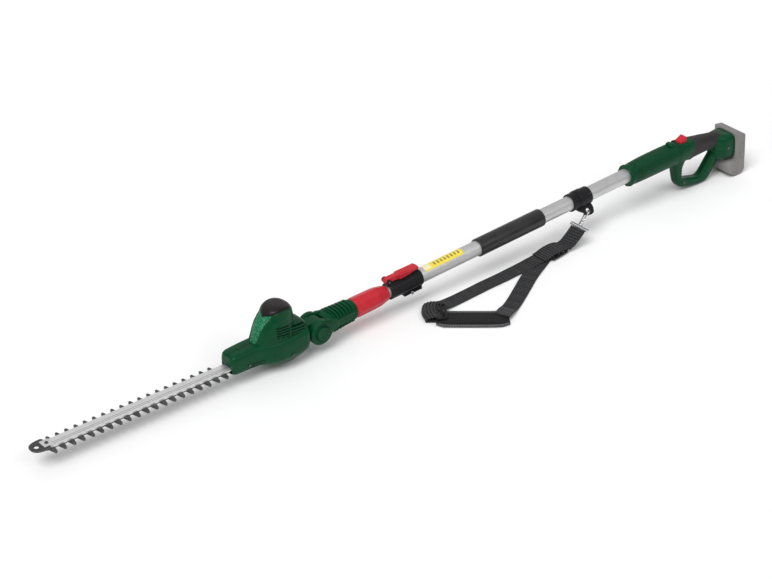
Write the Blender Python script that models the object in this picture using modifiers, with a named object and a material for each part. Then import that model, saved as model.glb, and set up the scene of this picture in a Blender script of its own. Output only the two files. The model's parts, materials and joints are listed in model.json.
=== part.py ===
"""Cordless pole hedge trimmer with a telescopic pole, tilting head, D-handle, battery and harness strap.

Sizes in this file are in millimetres and MM turns them into metres.  The tool lies on the floor, z = 0:
the blade runs towards -X, the battery stands at X = 0 and the pole rises a little towards it.
Head pieces are placed from the tilt pivot with level axes.  Everything on the pole is placed in pole
coordinates: s along the pole from the pivot, y across it and h up from its axis.
"""

import math

import bmesh
import bpy
from mathutils import Matrix, Vector

MM = 0.001

# Overall placing
LEAN = math.radians(3.11)              # rise of the pole towards the battery
PIVOT_HEIGHT = 47.5                    # tilt pivot over the floor
FOOT_S = 1168.0                        # station of the battery's foot, which is the origin
GAP = 0.3                              # play between pieces that touch

# Cutting head, from the pivot
BLADE_Z = -11.5                        # plane between the two blades
TOOTH_PITCH = 20.0
FIRST_TOOTH_X = -605.0
NEAR_TEETH = 20
FAR_TEETH = 19
SPINE_HALF = 10.0                      # half width of a blade between its teeth
TOOTH_TIP_Y = 25.8
BLADE_THICK = 2.0
BAR_THICK = 3.0
BAR_HALF = 12.5
BAR_TIP_X = -618.0
BLADE_STROKE = 4.0                     # each blade moves this far each way
CRANK_X = -115.0
ECCENTRIC_R = 9.0
AXLE_R = 3.0
GEAR_TEETH = 36
PINION_TEETH = 10
GEAR_MODULE = 1.0
MOTOR_X = CRANK_X + (GEAR_TEETH + PINION_TEETH) * GEAR_MODULE / 2
SLOT_STATIONS = (-560.0, -330.0)
SHELL_WALL = 2.5
DOME_LEAN = math.radians(15)

# Neck, collar and telescope
EAR_R = 27.0
EAR_INNER_Y = 13.0
EAR_OUTER_Y = 29.0
KNUCKLE_R = 22.0
KNUCKLE_Y = 12.5
BUTTON_R = 15.0
NECK_END = 96.0
INNER_TUBE_R = 13.0
INNER_TUBE = (34.0, 815.0)
OUTER_TUBE_R = 15.75
OUTER_TUBE = (200.0, 905.0)
TUBE_WALL = 1.5
COLLAR = (97.0, 182.0)
CLAMP = (186.0, 268.0)
CLAMP_R = 18.2
LEVER_PIVOT = (186.0, 25.5)
LABEL = (278.0, 380.0)
FOAM = (424.0, 599.0)
FOAM_R = 19.2
RING_S = 708.0
RING_HALF = 26.0
RING_ROLL = math.radians(-39)
RING_R = 19.4

# Rear handle
LIP_S = 850.0
BARREL_END = 1058.0
GUARD_HALF = 16.0
HOUSING = (1114.0, 1160.0)
HOUSING_HALF = 28.0
BATTERY_HALF = 34.6
TRIGGER_PIVOT = (1026.0, -14.0)

# Harness strap
WEBBING_THICK = 2.0
WEBBING_WIDTH = 38.0
PAD_WIDTH = 60.0
HOOK_WIRE_R = 1.8

COLOURS = {
    "green": ((0.0, 0.075, 0.028), 0.42, 0.0),
    "black": ((0.022, 0.022, 0.024), 0.5, 0.0),
    "soft_black": ((0.03, 0.03, 0.03), 0.85, 0.0),
    "red": ((0.55, 0.035, 0.05), 0.4, 0.0),
    "aluminium": ((0.6, 0.6, 0.62), 0.35, 1.0),
    "steel": ((0.5, 0.5, 0.5), 0.35, 1.0),
    "dark_steel": ((0.1, 0.1, 0.1), 0.45, 1.0),
    "chrome": ((0.75, 0.75, 0.75), 0.12, 1.0),
    "grey": ((0.2, 0.19, 0.19), 0.5, 0.0),
    "webbing": ((0.014, 0.014, 0.014), 0.9, 0.0),
    "yellow": ((0.8, 0.6, 0.05), 0.5, 0.0),
    "board": ((0.02, 0.12, 0.05), 0.6, 0.0),
    "cell": ((0.05, 0.2, 0.35), 0.5, 0.0),
}


# ---------------------------------------------------------------- helpers


def clear_scene():
    """Remove everything and return the collections for the parts and for the cutters."""
    for item in list(bpy.data.objects):
        bpy.data.objects.remove(item, do_unlink=True)
    parts = bpy.data.collections.new("pole_hedge_trimmer")
    cutters = bpy.data.collections.new("cutters")
    bpy.context.scene.collection.children.link(parts)
    bpy.context.scene.collection.children.link(cutters)
    return parts, cutters


PARTS, CUTTERS = clear_scene()


def make_material(name):
    """Return the named plain material, made on first use."""
    material = bpy.data.materials.get(name)
    if material is None:
        colour, roughness, metallic = COLOURS[name]
        material = bpy.data.materials.new(name)
        material.use_nodes = True
        shader = material.node_tree.nodes["Principled BSDF"]
        shader.inputs["Base Color"].default_value = (*colour, 1.0)
        shader.inputs["Roughness"].default_value = roughness
        shader.inputs["Metallic"].default_value = metallic
    return material


def add_frame(name, location, rotation=(0, 0, 0), parent=None):
    """Add an empty that pieces are placed from; location is in millimetres."""
    frame = bpy.data.objects.new(name, None)
    frame.location = Vector(location) * MM
    frame.rotation_euler = rotation
    frame.parent = parent
    PARTS.objects.link(frame)
    return frame


def add_piece(name, mesh, colour, frame, location=(0, 0, 0), rotation=(0, 0, 0), smooth=True):
    """Put a mesh in the parts collection as a named piece of one material."""
    piece = bpy.data.objects.new(name, mesh)
    PARTS.objects.link(piece)
    piece.parent = frame
    piece.location = Vector(location) * MM
    piece.rotation_euler = rotation
    if colour:
        mesh.materials.clear()
        mesh.materials.append(make_material(colour))
    if smooth and mesh.polygons:
        mesh.shade_smooth()
        mesh.set_sharp_from_angle(angle=math.radians(35))
    return piece


def as_cutter(piece):
    """Turn a piece into a hidden cutter."""
    piece.hide_render = True
    piece.display_type = "WIRE"
    PARTS.objects.unlink(piece)
    CUTTERS.objects.link(piece)
    return piece


def combine(piece, operation, *others):
    """Add an exact boolean for each of the other objects and hide them as cutters."""
    for other in others:
        if other.name in PARTS.objects:
            as_cutter(other)
        modifier = piece.modifiers.new(operation.lower(), "BOOLEAN")
        modifier.operation = operation
        modifier.solver = "EXACT"
        modifier.object = other
    return piece


def cut(piece, *cutters):
    """Subtract the cutters from the piece."""
    return combine(piece, "DIFFERENCE", *cutters)


def join(piece, *others):
    """Join the other shapes to the piece."""
    return combine(piece, "UNION", *others)


def weld(piece):
    """Close the hairline seams that a chain of booleans can leave."""
    modifier = piece.modifiers.new("weld", "WELD")
    modifier.merge_threshold = 0.00002
    return piece


def soften(piece, width, segments=2):
    """Round the piece's sharp edges."""
    modifier = piece.modifiers.new("bevel", "BEVEL")
    modifier.width = width * MM
    modifier.segments = segments
    modifier.limit_method = "ANGLE"
    modifier.angle_limit = math.radians(40)
    return piece


def box(name, low, high, colour=None, frame=None):
    """A box between two corners in its frame."""
    mesh = bpy.data.meshes.new(name)
    bm = bmesh.new()
    size = [b - a for a, b in zip(low, high)]
    middle = [(a + b) / 2 for a, b in zip(low, high)]
    place = Matrix.Translation(Vector(middle) * MM) @ Matrix.Diagonal((*(v * MM for v in size), 1))
    bmesh.ops.create_cube(bm, size=1.0, matrix=place)
    bm.to_mesh(mesh)
    bm.free()
    return add_piece(name, mesh, colour, frame, smooth=False)


AXIS_TURNS = {"z": (0, 0, 0), "x": (0, math.pi / 2, 0), "y": (-math.pi / 2, 0, 0)}


def turned(name, profile, colour=None, frame=None, location=(0, 0, 0), axis="z", steps=28, ring=False):
    """A turned piece.  The profile is (radius, height) down the outer side, from top to bottom."""
    mesh = bpy.data.meshes.new(name)
    points = [(radius * MM, 0.0, height * MM) for radius, height in profile]
    edges = [(i, i + 1) for i in range(len(points) - 1)]
    if ring:
        edges.append((len(points) - 1, 0))
    mesh.from_pydata(points, edges, [])
    piece = add_piece(name, mesh, colour, frame, location, AXIS_TURNS[axis])
    screw = piece.modifiers.new("turn", "SCREW")
    screw.axis = "Z"
    screw.steps = steps
    screw.render_steps = steps
    screw.use_merge_vertices = True
    screw.merge_threshold = 0.00001
    return piece


def rod(name, radius, low, high, colour=None, frame=None, location=(0, 0, 0), axis="z", steps=24):
    """A plain round bar along an axis, from low to high."""
    return turned(name, [(0, high), (radius, high), (radius, low), (0, low)],
                  colour, frame, location, axis, steps)


def tube(name, outer, inner, low, high, colour=None, frame=None, location=(0, 0, 0), axis="x", steps=32):
    """A round tube along an axis, from low to high."""
    profile = [(outer, high), (outer, low), (inner, low), (inner, high)]
    return turned(name, profile, colour, frame, location, axis, steps, ring=True)


def mesh_of(piece):
    """Replace a curve object by a mesh object with its caps welded on."""
    bpy.context.view_layer.update()
    graph = bpy.context.evaluated_depsgraph_get()
    mesh = bpy.data.meshes.new_from_object(piece.evaluated_get(graph), depsgraph=graph)
    bm = bmesh.new()
    bm.from_mesh(mesh)
    bmesh.ops.remove_doubles(bm, verts=bm.verts, dist=0.000005)
    bm.to_mesh(mesh)
    bm.free()
    name, frame, collection = piece.name, piece.parent, piece.users_collection[0]
    place = (piece.location.copy(), piece.rotation_euler.copy())
    bpy.data.objects.remove(piece, do_unlink=True)
    solid = bpy.data.objects.new(name, mesh)
    collection.objects.link(solid)
    solid.parent = frame
    solid.location, solid.rotation_euler = place
    return solid


PLANES = {"xy": (0, 0, 0), "xz": (math.pi / 2, 0, 0), "yz": (math.pi / 2, 0, math.pi / 2)}


def plate(name, outlines, low, high, plane="xy", colour=None, frame=None, location=(0, 0, 0)):
    """A flat outline with holes, extruded from low to high across its plane."""
    curve = bpy.data.curves.new(name, "CURVE")
    curve.dimensions = "2D"
    curve.fill_mode = "BOTH"
    curve.extrude = (high - low) / 2 * MM
    for outline in outlines:
        spline = curve.splines.new("POLY")
        spline.points.add(len(outline) - 1)
        for point, (u, v) in zip(spline.points, outline):
            point.co = (u * MM, v * MM, 0, 1)
        spline.use_cyclic_u = True
    piece = bpy.data.objects.new(name, curve)
    PARTS.objects.link(piece)
    solid = mesh_of(piece)
    middle = (high + low) / 2
    shift = {"xy": (0, 0, middle), "xz": (0, middle, 0), "yz": (middle, 0, 0)}[plane]
    solid.parent = frame
    solid.location = (Vector(location) + Vector(shift)) * MM
    solid.rotation_euler = PLANES[plane]
    if colour:
        solid.data.materials.clear()
        solid.data.materials.append(make_material(colour))
    return solid


def wire(name, points, radius, colour=None, frame=None, location=(0, 0, 0), closed=False):
    """A round wire along a list of points."""
    curve = bpy.data.curves.new(name, "CURVE")
    curve.dimensions = "3D"
    curve.bevel_depth = radius * MM
    curve.bevel_resolution = 2
    curve.use_fill_caps = True
    spline = curve.splines.new("POLY")
    spline.points.add(len(points) - 1)
    for point, place in zip(spline.points, points):
        point.co = (*(Vector(place) * MM), 1)
    spline.use_cyclic_u = closed
    piece = bpy.data.objects.new(name, curve)
    PARTS.objects.link(piece)
    solid = mesh_of(piece)
    solid.parent = frame
    solid.location = Vector(location) * MM
    if colour:
        solid.data.materials.clear()
        solid.data.materials.append(make_material(colour))
        solid.data.shade_smooth()
        solid.data.set_sharp_from_angle(angle=math.radians(50))
    return solid


def arc(centre, radius, start, end, steps):
    """Points of an arc, with its angles in degrees."""
    angles = [math.radians(start + (end - start) * i / steps) for i in range(steps + 1)]
    return [(centre[0] + radius * math.cos(a), centre[1] + radius * math.sin(a)) for a in angles]


def circle(centre, radius, steps=20):
    """Points of a full circle."""
    return arc(centre, radius, 0, 360 * (steps - 1) / steps, steps - 1)


def rounded_outline(points, radius, steps=3):
    """Replace each corner of a polygon by a curve of about the given radius."""
    outline = []
    count = len(points)
    for i, corner in enumerate(points):
        here = Vector(corner)
        before = Vector(points[i - 1]) - here
        after = Vector(points[(i + 1) % count]) - here
        reach = min(radius, before.length * 0.45, after.length * 0.45)
        start = here + before.normalized() * reach
        end = here + after.normalized() * reach
        for k in range(steps + 1):
            t = k / steps
            point = start * (1 - t) ** 2 + here * 2 * t * (1 - t) + end * t ** 2
            outline.append((point.x, point.y))
    return outline


def section(station, half_width, low, high, radius, steps=3, lean=0.0):
    """A rounded rectangle across X; lean moves its upper points along X."""
    corners = [(half_width - radius, high - radius, 0), (-half_width + radius, high - radius, 90),
               (-half_width + radius, low + radius, 180), (half_width - radius, low + radius, 270)]
    loop = []
    for y, z, start in corners:
        loop += arc((y, z), radius, start, start + 90, steps)
    return [(station + lean * (z - low), y, z) for y, z in loop]


def loft(name, sections, colour=None, frame=None):
    """A closed skin through sections that have the same number of points."""
    bm = bmesh.new()
    rows = [[bm.verts.new(Vector(p) * MM) for p in loop] for loop in sections]
    count = len(rows[0])
    for a, b in zip(rows, rows[1:]):
        for i in range(count):
            k = (i + 1) % count
            bm.faces.new((a[i], a[k], b[k], b[i]))
    bm.faces.new(rows[0])
    bm.faces.new(rows[-1])
    bmesh.ops.recalc_face_normals(bm, faces=bm.faces)
    mesh = bpy.data.meshes.new(name)
    bm.to_mesh(mesh)
    bm.free()
    return add_piece(name, mesh, colour, frame)


def halves(names, make_solid, colour, cutters, frame, reach):
    """Make the near and far halves of a hollow housing, parted at y = 0 between the reach's ends."""
    start, end = reach
    for name, side in zip(names, (-1, 1)):
        seam = side * GAP / 2
        far_away = -side * 300
        low = (start, min(seam, far_away), -400)
        high = (end, max(seam, far_away), 400)
        half = make_solid(name, colour)
        weld(cut(half, *cutters, box(name + "_parting", low, high, frame=frame)))


# ---------------------------------------------------------------- frames

PIVOT_X = -(FOOT_S * math.cos(LEAN) + (PIVOT_HEIGHT + FOOT_S * math.sin(LEAN)) * math.tan(LEAN))
HEAD = add_frame("tilt_pivot", (PIVOT_X, 0, PIVOT_HEIGHT))
POLE = add_frame("pole_axis", (PIVOT_X, 0, PIVOT_HEIGHT), (0, -LEAN, 0))


def floor_h(station):
    """Height of the floor below the pole's axis, measured square to it."""
    return -(PIVOT_HEIGHT + station * math.sin(LEAN)) / math.cos(LEAN)


# ---------------------------------------------------------------- cutting head

HEAD_SECTIONS = (  # station, half width, bottom, top, corner radius
    (-208, 18.0, -17.0, 15.0, 5), (-200, 22.0, -20.0, 20.0, 6), (-150, 23.0, -20.0, 25.0, 7),
    (-131, 27.0, -23.5, 28.0, 10), (-113, 33.0, -36.0, 31.0, 15), (-96, 36.0, -47.5, 32.0, 20),
    (-62, 36.0, -47.5, 32.0, 20), (-46, 33.0, -40.0, 30.0, 17), (-35, 26.0, -27.0, 25.0, 12))


def head_loft(name, inset, colour=None):
    """The head's body, or its hollow when inset is the wall."""
    loops = []
    for index, (station, half, low, high, radius) in enumerate(HEAD_SECTIONS):
        if index == 0:
            station += inset
        if index == len(HEAD_SECTIONS) - 1:
            station -= inset
        loops.append(section(station, half - inset, low + inset, high - inset, max(radius - inset, 2), 4))
    return loft(name, loops, colour, HEAD)


def dome_profile(inset, low, high):
    """Profile of the tapered motor dome, (radius, height) from top to bottom."""
    top_r, base_r = 29.5 - inset, 39.0 - inset
    return [(0, high), (top_r, high), (base_r, low), (0, low)]


DOME_BASE = (-104.0, 0.0, 16.0)
DOME_HEIGHT = 58.0


def leaned(piece):
    """Lean a dome piece back from its base."""
    piece.rotation_euler = (0, DOME_LEAN, 0)
    return piece


def build_head_shells():
    hollow = head_loft("head_hollow", SHELL_WALL)
    dome_hollow = leaned(turned("dome_hollow", dome_profile(SHELL_WALL, 0.5, DOME_HEIGHT + 5),
                                frame=HEAD, location=DOME_BASE, steps=36))
    mouth = box("mouth", (-215, -14, BLADE_Z - 3.2), (-195, 14, BLADE_Z + 6.2), frame=HEAD)
    rear_slot = box("rear_slot", (-42, -KNUCKLE_Y, -24), (-30, KNUCKLE_Y, 30), frame=HEAD)
    cutters = [hollow, dome_hollow, mouth, rear_slot]
    for index in range(5):
        x = -84 + index * 11
        cutters.append(box(f"vent_{index}", (x, -45, 8), (x + 3.2, 45, 21), frame=HEAD))

    def solid(name, colour):
        body = head_loft(name, 0, colour)
        dome = leaned(turned(name + "_dome", dome_profile(0, -4, DOME_HEIGHT),
                             frame=HEAD, location=DOME_BASE, steps=36))
        return join(body, dome)

    halves(("head_shell_near", "head_shell_far"), solid, "green", cutters, HEAD, (-230, -20))


def build_motor():
    rim = DOME_HEIGHT + GAP
    profile = [(0, rim + 19), (9, rim + 18.3), (17, rim + 15.5), (23.5, rim + 10), (27.6, rim + 3.5),
               (28.4, rim), (26.3, rim), (21, rim + 9), (13, rim + 14), (0, rim + 16)]
    leaned(turned("motor_cap", profile, "black", HEAD, DOME_BASE, steps=32))
    rod("motor_can", 17.5, 18, 68, "steel", HEAD, (MOTOR_X, 0, 0))


def gear_outline(teeth, phase):
    """A spur gear's outline with straight flanks and a little backlash."""
    pitch_r = teeth * GEAR_MODULE / 2
    step = 2 * math.pi / teeth
    outline = []
    for i in range(teeth):
        middle = phase + i * step
        for offset, radius in ((-0.27, -0.95), (-0.12, 0.75), (0.12, 0.75), (0.27, -0.95)):
            angle = middle + offset * step
            outline.append(((pitch_r + radius) * math.cos(angle), (pitch_r + radius) * math.sin(angle)))
    return outline


def build_drive():
    gear_low, gear_high = -3.5, 2.5
    gear = plate("drive_gear", [gear_outline(GEAR_TEETH, 0)], gear_low, gear_high,
                 colour="steel", frame=HEAD, location=(CRANK_X, 0, 0))
    hub = rod("crank_hub", 6.5, BLADE_Z, gear_low + 1, frame=HEAD, location=(CRANK_X, 0, 0))
    discs = []
    for name, offset, low, high in (("upper_eccentric", BLADE_STROKE, BLADE_Z + 0.1, BLADE_Z + 2.3),
                                    ("lower_eccentric", -BLADE_STROKE, BLADE_Z - 2.3, BLADE_Z + 0.2)):
        discs.append(rod(name, ECCENTRIC_R, low, high, frame=HEAD,
                         location=(CRANK_X + offset, 0, 0), steps=32))
    bore = rod("crank_bore", AXLE_R + GAP, -40, 20, frame=HEAD, location=(CRANK_X, 0, 0))
    cut(join(gear, hub, *discs), bore)
    rod("gear_axle", AXLE_R, -15.6, 8.0, "dark_steel", HEAD, (CRANK_X, 0, 0), steps=20)
    tube("gear_bearing", 7.5, AXLE_R + 0.1, 3.0, 6.5, "steel", HEAD, (CRANK_X, 0, 0), axis="z", steps=20)
    pinion = plate("motor_pinion", [gear_outline(PINION_TEETH, math.pi / PINION_TEETH)],
                   gear_low - 0.5, gear_high + 1, colour="dark_steel", frame=HEAD, location=(MOTOR_X, 0, 0))
    join(pinion, rod("motor_shaft", 2.0, -2, 17.7, frame=HEAD, location=(MOTOR_X, 0, 0), steps=16))


def build_gearbox_plate():
    outline = rounded_outline([(-139, -13), (-130, -14), (-118, -22), (-72, -22), (-72, 22),
                               (-118, 22), (-130, 14), (-139, 13)], 4)
    plate("gearbox_plate", [outline], -19.2, -15.9, colour="aluminium", frame=HEAD)


def tooth_row(side, first, count, direction):
    """Outline points of one side's teeth, running along X in the given direction."""
    points = []
    order = range(count) if direction > 0 else reversed(range(count))
    for i in order:
        x = first + i * TOOTH_PITCH
        shape = [(-6.3, SPINE_HALF), (-2.4, TOOTH_TIP_Y - 1.2), (-1.0, TOOTH_TIP_Y),
                 (1.2, TOOTH_TIP_Y), (2.6, TOOTH_TIP_Y - 1.2), (5.6, SPINE_HALF)]
        if direction < 0:
            shape = shape[::-1]
        points += [(x + dx, side * y) for dx, y in shape]
    return points


def slot_outline(x, half_length, half_width):
    """A straight slot with round ends."""
    reach = half_length - half_width
    return (arc((x + reach, 0), half_width, -90, 90, 5) + arc((x - reach, 0), half_width, 90, 270, 5))


def build_blades():
    """Two toothed blades whose rear ends are windows round the crank."""
    window = rounded_outline([(CRANK_X - 17.6, -13.6), (CRANK_X + 17.6, -13.6),
                              (CRANK_X + 17.6, 13.6), (CRANK_X - 17.6, 13.6)], 3)
    outline = [(BAR_TIP_X + 1, -6.0), (BAR_TIP_X + 4, -SPINE_HALF)]
    outline += tooth_row(-1, FIRST_TOOTH_X, NEAR_TEETH, 1)
    outline += [(-205, -SPINE_HALF), (-150, -SPINE_HALF), (-138, -17), (CRANK_X + 22, -17),
                (CRANK_X + 22, 17), (-138, 17), (-150, SPINE_HALF), (-205, SPINE_HALF)]
    outline += tooth_row(1, FIRST_TOOTH_X + TOOTH_PITCH / 2, FAR_TEETH, -1)
    outline += [(BAR_TIP_X + 4, SPINE_HALF), (BAR_TIP_X + 1, 6.0)]
    slots = [slot_outline(x, 4 + BLADE_STROKE + GAP, 3.4) for x in SLOT_STATIONS]
    upper = BLADE_Z + 0.15
    plate("upper_blade", [outline, window, *slots], upper, upper + BLADE_THICK,
          colour="dark_steel", frame=HEAD)
    plate("lower_blade", [outline, window, *slots], upper - GAP - BLADE_THICK, upper - GAP,
          colour="dark_steel", frame=HEAD)


def build_guide_bar():
    low = BLADE_Z + 0.15 + BLADE_THICK + GAP
    top = low + BAR_THICK
    outline = rounded_outline([(BAR_TIP_X, -7), (BAR_TIP_X + 12, -BAR_HALF), (-148, -BAR_HALF),
                               (-138, -17), (-90, -17), (-90, 17), (-138, 17), (-148, BAR_HALF),
                               (BAR_TIP_X + 12, BAR_HALF), (BAR_TIP_X, 7)], 4)
    holes = [circle((x, 0), 3.0 + 0.2, 16) for x in SLOT_STATIONS]
    holes += [circle((CRANK_X, 0), 8.5, 20), circle((BAR_TIP_X + 8, 0), 2.3, 14)]
    plate("guide_bar", [outline, *holes], low, top, colour="aluminium", frame=HEAD)
    lowest = BLADE_Z - GAP - BLADE_THICK
    for index, x in enumerate(SLOT_STATIONS, 1):
        turned(f"blade_screw_{index}", [(0, top - 0.3), (3.0, top - 0.3), (3.0, lowest - GAP),
                                        (5.2, lowest - GAP), (4.6, lowest - 2.2), (0, lowest - 2.2)],
               "steel", HEAD, (x, 0, 0), steps=18)
    guard_low = top + GAP
    tip = rounded_outline([(-641, -13), (-637, -22), (-628, -22), (-617, -9), (-604, -7), (-604, 7),
                           (-617, 9), (-628, 22), (-637, 22), (-641, 13), (-638, 0)], 4, 3)
    hole = [(-629, -9), (-625.5, -6), (-625.5, 6), (-629, 9), (-632.5, 6), (-632.5, -6)]
    bolt_hole = circle((BAR_TIP_X + 8, 0), 2.3, 14)
    plate("tip_guard", [tip, rounded_outline(hole, 2, 2), bolt_hole], guard_low, guard_low + 3,
          colour="dark_steel", frame=HEAD)
    head_low = guard_low + 3 + GAP
    turned("tip_guard_screw", [(0, head_low + 2), (3.2, head_low + 1.6), (3.9, head_low), (2.0, head_low),
                               (2.0, low + 0.1), (0, low + 0.1)],
           "steel", HEAD, (BAR_TIP_X + 8, 0, 0), steps=18)


def build_knuckle():
    """The head's tongue, which turns between the neck's two ears."""
    outline = [(-64, -15), (-30, -18)] + arc((0, 0), KNUCKLE_R, -110, 110, 18) + [(-30, 18), (-64, 15)]
    plate("head_knuckle", [outline, circle((0, 0), 4.5, 20)], -KNUCKLE_Y + GAP, KNUCKLE_Y - GAP,
          plane="xz", colour="green", frame=HEAD)


def build_head_screws():
    for index, (x, z, y) in enumerate(((-172, -6, -23.0), (-78, -14, -36.0)), 1):
        turned(f"head_screw_{index}", [(0, 0.9), (2.2, 0.9), (2.9, 0.2), (2.9, -0.9), (0, -0.9)],
               "steel", HEAD, (x, y - 0.9, z), axis="y", steps=16)


# ---------------------------------------------------------------- neck and collar


def build_neck():
    bore = rod("neck_bore", INNER_TUBE_R + 0.2, 32, 130, frame=POLE, axis="x")
    tongue_slot = box("tongue_slot", (-60, -EAR_INNER_Y, -60), (27.5, EAR_INNER_Y, 60), frame=POLE)
    bolt_hole = rod("pivot_hole", 4.3, -60, 60, frame=POLE, axis="y")
    recess = rod("button_recess", BUTTON_R + GAP, -60, -19, frame=POLE, axis="y")
    nut_recess = rod("nut_recess", 9.3, 24, 60, frame=POLE, axis="y")

    def solid(name, colour):
        loops = [section(6, 27.0, -19, 19, 9, 4), section(26, 27.0, -23, 24, 12, 4),
                 section(44, 25.0, -24, 25, 20, 4), section(58, 23.5, -23.5, 23.5, 22, 4),
                 section(NECK_END, 21.5, -21.5, 21.5, 20.5, 4)]
        body = loft(name, loops, colour, POLE)
        ears = rod(name + "_ears", EAR_R, -EAR_OUTER_Y, EAR_OUTER_Y, frame=POLE, axis="y", steps=36)
        join(body, ears)
        for index in range(5):
            start = 48 + index * 9
            rib = section(start, 13, -26.0 + index * 0.6, 26.5 - index * 0.6, 5, 2)
            rib_end = section(start + 4.5, 13, -26.0 + index * 0.6, 26.5 - index * 0.6, 5, 2)
            join(body, loft(f"{name}_rib_{index}", [rib, rib_end], frame=POLE))
        return body

    halves(("neck_shell_near", "neck_shell_far"), solid, "green",
           [bore, tongue_slot, bolt_hole, recess, nut_recess], POLE, (-60, 140))
    turned("pivot_bolt", [(0, 28.4), (7, 28.4), (8.5, 27.4), (8.5, 24.3), (4.0, 24.3), (4.0, -14.5),
                          (0, -14.5)], "steel", POLE, axis="y", steps=20)
    turned("tilt_button", [(0, -23.5), (BUTTON_R - 0.3, -23.5), (BUTTON_R - 0.3, -31.6), (BUTTON_R - 1.5, -33),
                           (BUTTON_R - 5.5, -33), (BUTTON_R - 6.5, -32), (0, -32)],
           "green", POLE, axis="y", steps=30)


def build_collar():
    """Red locking collar: twelve flats that taper off behind."""
    start, end = COLLAR
    tube_profile = [(14.6, end), (19.0, end - 22), (21.0, start + 6), (20.0, start), (13.6, start), (13.6, end)]
    turned("lock_collar", tube_profile, "red", POLE, axis="x", steps=12, ring=True)


# ---------------------------------------------------------------- telescope


def build_tubes():
    tube("inner_tube", INNER_TUBE_R, INNER_TUBE_R - TUBE_WALL, *INNER_TUBE, "aluminium", POLE)
    tube("outer_tube", OUTER_TUBE_R, OUTER_TUBE_R - TUBE_WALL, *OUTER_TUBE, "aluminium", POLE)
    tube("guide_bush", OUTER_TUBE_R - 0.2, INNER_TUBE_R + 0.15, CLAMP[0] + 1, OUTER_TUBE[0] - GAP,
         "black", POLE)
    tube("foam_grip", FOAM_R, OUTER_TUBE_R + GAP, *FOAM, "soft_black", POLE)
    near, far = 158, 62                # degrees round the tube, on top and to the near side
    outer = arc((0, 0), OUTER_TUBE_R + 0.7, near, far, 10)
    inner = arc((0, 0), OUTER_TUBE_R + 0.25, far, near, 10)
    plate("tube_label", [outer + inner], *LABEL, plane="yz", colour="yellow", frame=POLE)


def build_clamp():
    start, end = CLAMP
    body = turned("clamp_body", [(0, end), (16.8, end), (CLAMP_R, end - 1.5), (CLAMP_R, start + 1.5),
                                 (17.2, start), (0, start)], "black", POLE, axis="x")
    profile = rounded_outline([(start + 1, 14), (start + 1, 19.2), (end - 24, 19.2), (end - 14, 20.5),
                               (end - 3, 20.5), (end - 1, 14)], 2.5, 2)
    saddle = plate("clamp_saddle", [profile], -10, 10, plane="xz", frame=POLE)
    bore = rod("clamp_bore", OUTER_TUBE_R + 0.2, start - 10, end + 10, frame=POLE, axis="x", steps=28)
    flange = box("clamp_flange", (start + 34, -13, -21.5), (end - 4, 13, -10), frame=POLE)
    knob_slot = rod("lever_slot", 7.6, -6.6, 6.6, frame=POLE,
                    location=(LEVER_PIVOT[0], 0, LEVER_PIVOT[1]), axis="y")
    pin_hole = rod("lever_pin_hole", 2.2, -12, 12, frame=POLE,
                   location=(LEVER_PIVOT[0], 0, LEVER_PIVOT[1]), axis="y", steps=12)
    ears = plate("clamp_ears", [circle(LEVER_PIVOT, 5.6, 20)], -10.3, 10.3, plane="xz", frame=POLE)
    web = box("clamp_ear_web", (start + 0.5, -9.6, 13), (start + 4, 9.6, 24), frame=POLE)
    screw_hole = rod("clamp_screw_hole", 2.3, -20, 20, frame=POLE, location=(start + 52, 0, -18.9), axis="y")
    slit = box("clamp_slit", (start + 30, -0.8, -30), (end + 5, 0.8, -10), frame=POLE)
    join(body, saddle, flange, ears, web)
    weld(cut(body, bore, screw_hole, slit, knob_slot, pin_hole))
    rod("lever_pin", 2.0, -9.7, 9.7, "steel", POLE, (LEVER_PIVOT[0], 0, LEVER_PIVOT[1]), "y", 16)
    turned("clamp_screw", [(0, 13.6), (2.0, 13.6), (2.0, -14.0), (3.6, -14.0), (3.6, -15.8), (2.6, -16.6),
                           (0, -16.6)], "steel", POLE, (start + 52, 0, -18.9), axis="y", steps=16)


def build_clamp_lever():
    """Red cam lever that lies along the top of the clamp, drawn from its pin."""
    place = (LEVER_PIVOT[0], 0, LEVER_PIVOT[1])
    profile = arc((0, 0), 6.6, 100, 290, 12)
    profile += [(12, -2.5), (24, -3.8), (40, -3.8), (62, -0.4), (75, 0.6), (77, 2.5), (76, 5.0),
                (48, 5.5), (25, 5.8)]
    lever = plate("clamp_lever", [profile, circle((0, 0), 2.3, 16)], -6.0, 6.0, plane="xz",
                  colour="red", frame=POLE, location=place)
    wing = [(26, -3.6), (40, -3.6), (62, -0.3), (75, 0.8), (75, 4.8), (26, 5.6)]
    join(lever, plate("lever_wings", [wing], -9.5, 9.5, plane="xz", frame=POLE, location=place))


# ---------------------------------------------------------------- strap ring, hook and strap

RING = add_frame("ring_frame", (RING_S, 0, 0), (RING_ROLL, 0, 0), POLE)
LUG_HALF = 2.5                         # half thickness of the lug round the eye
EYE = (10.0, -31.5)                    # the eye's centre in the ring frame, x and z


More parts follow.
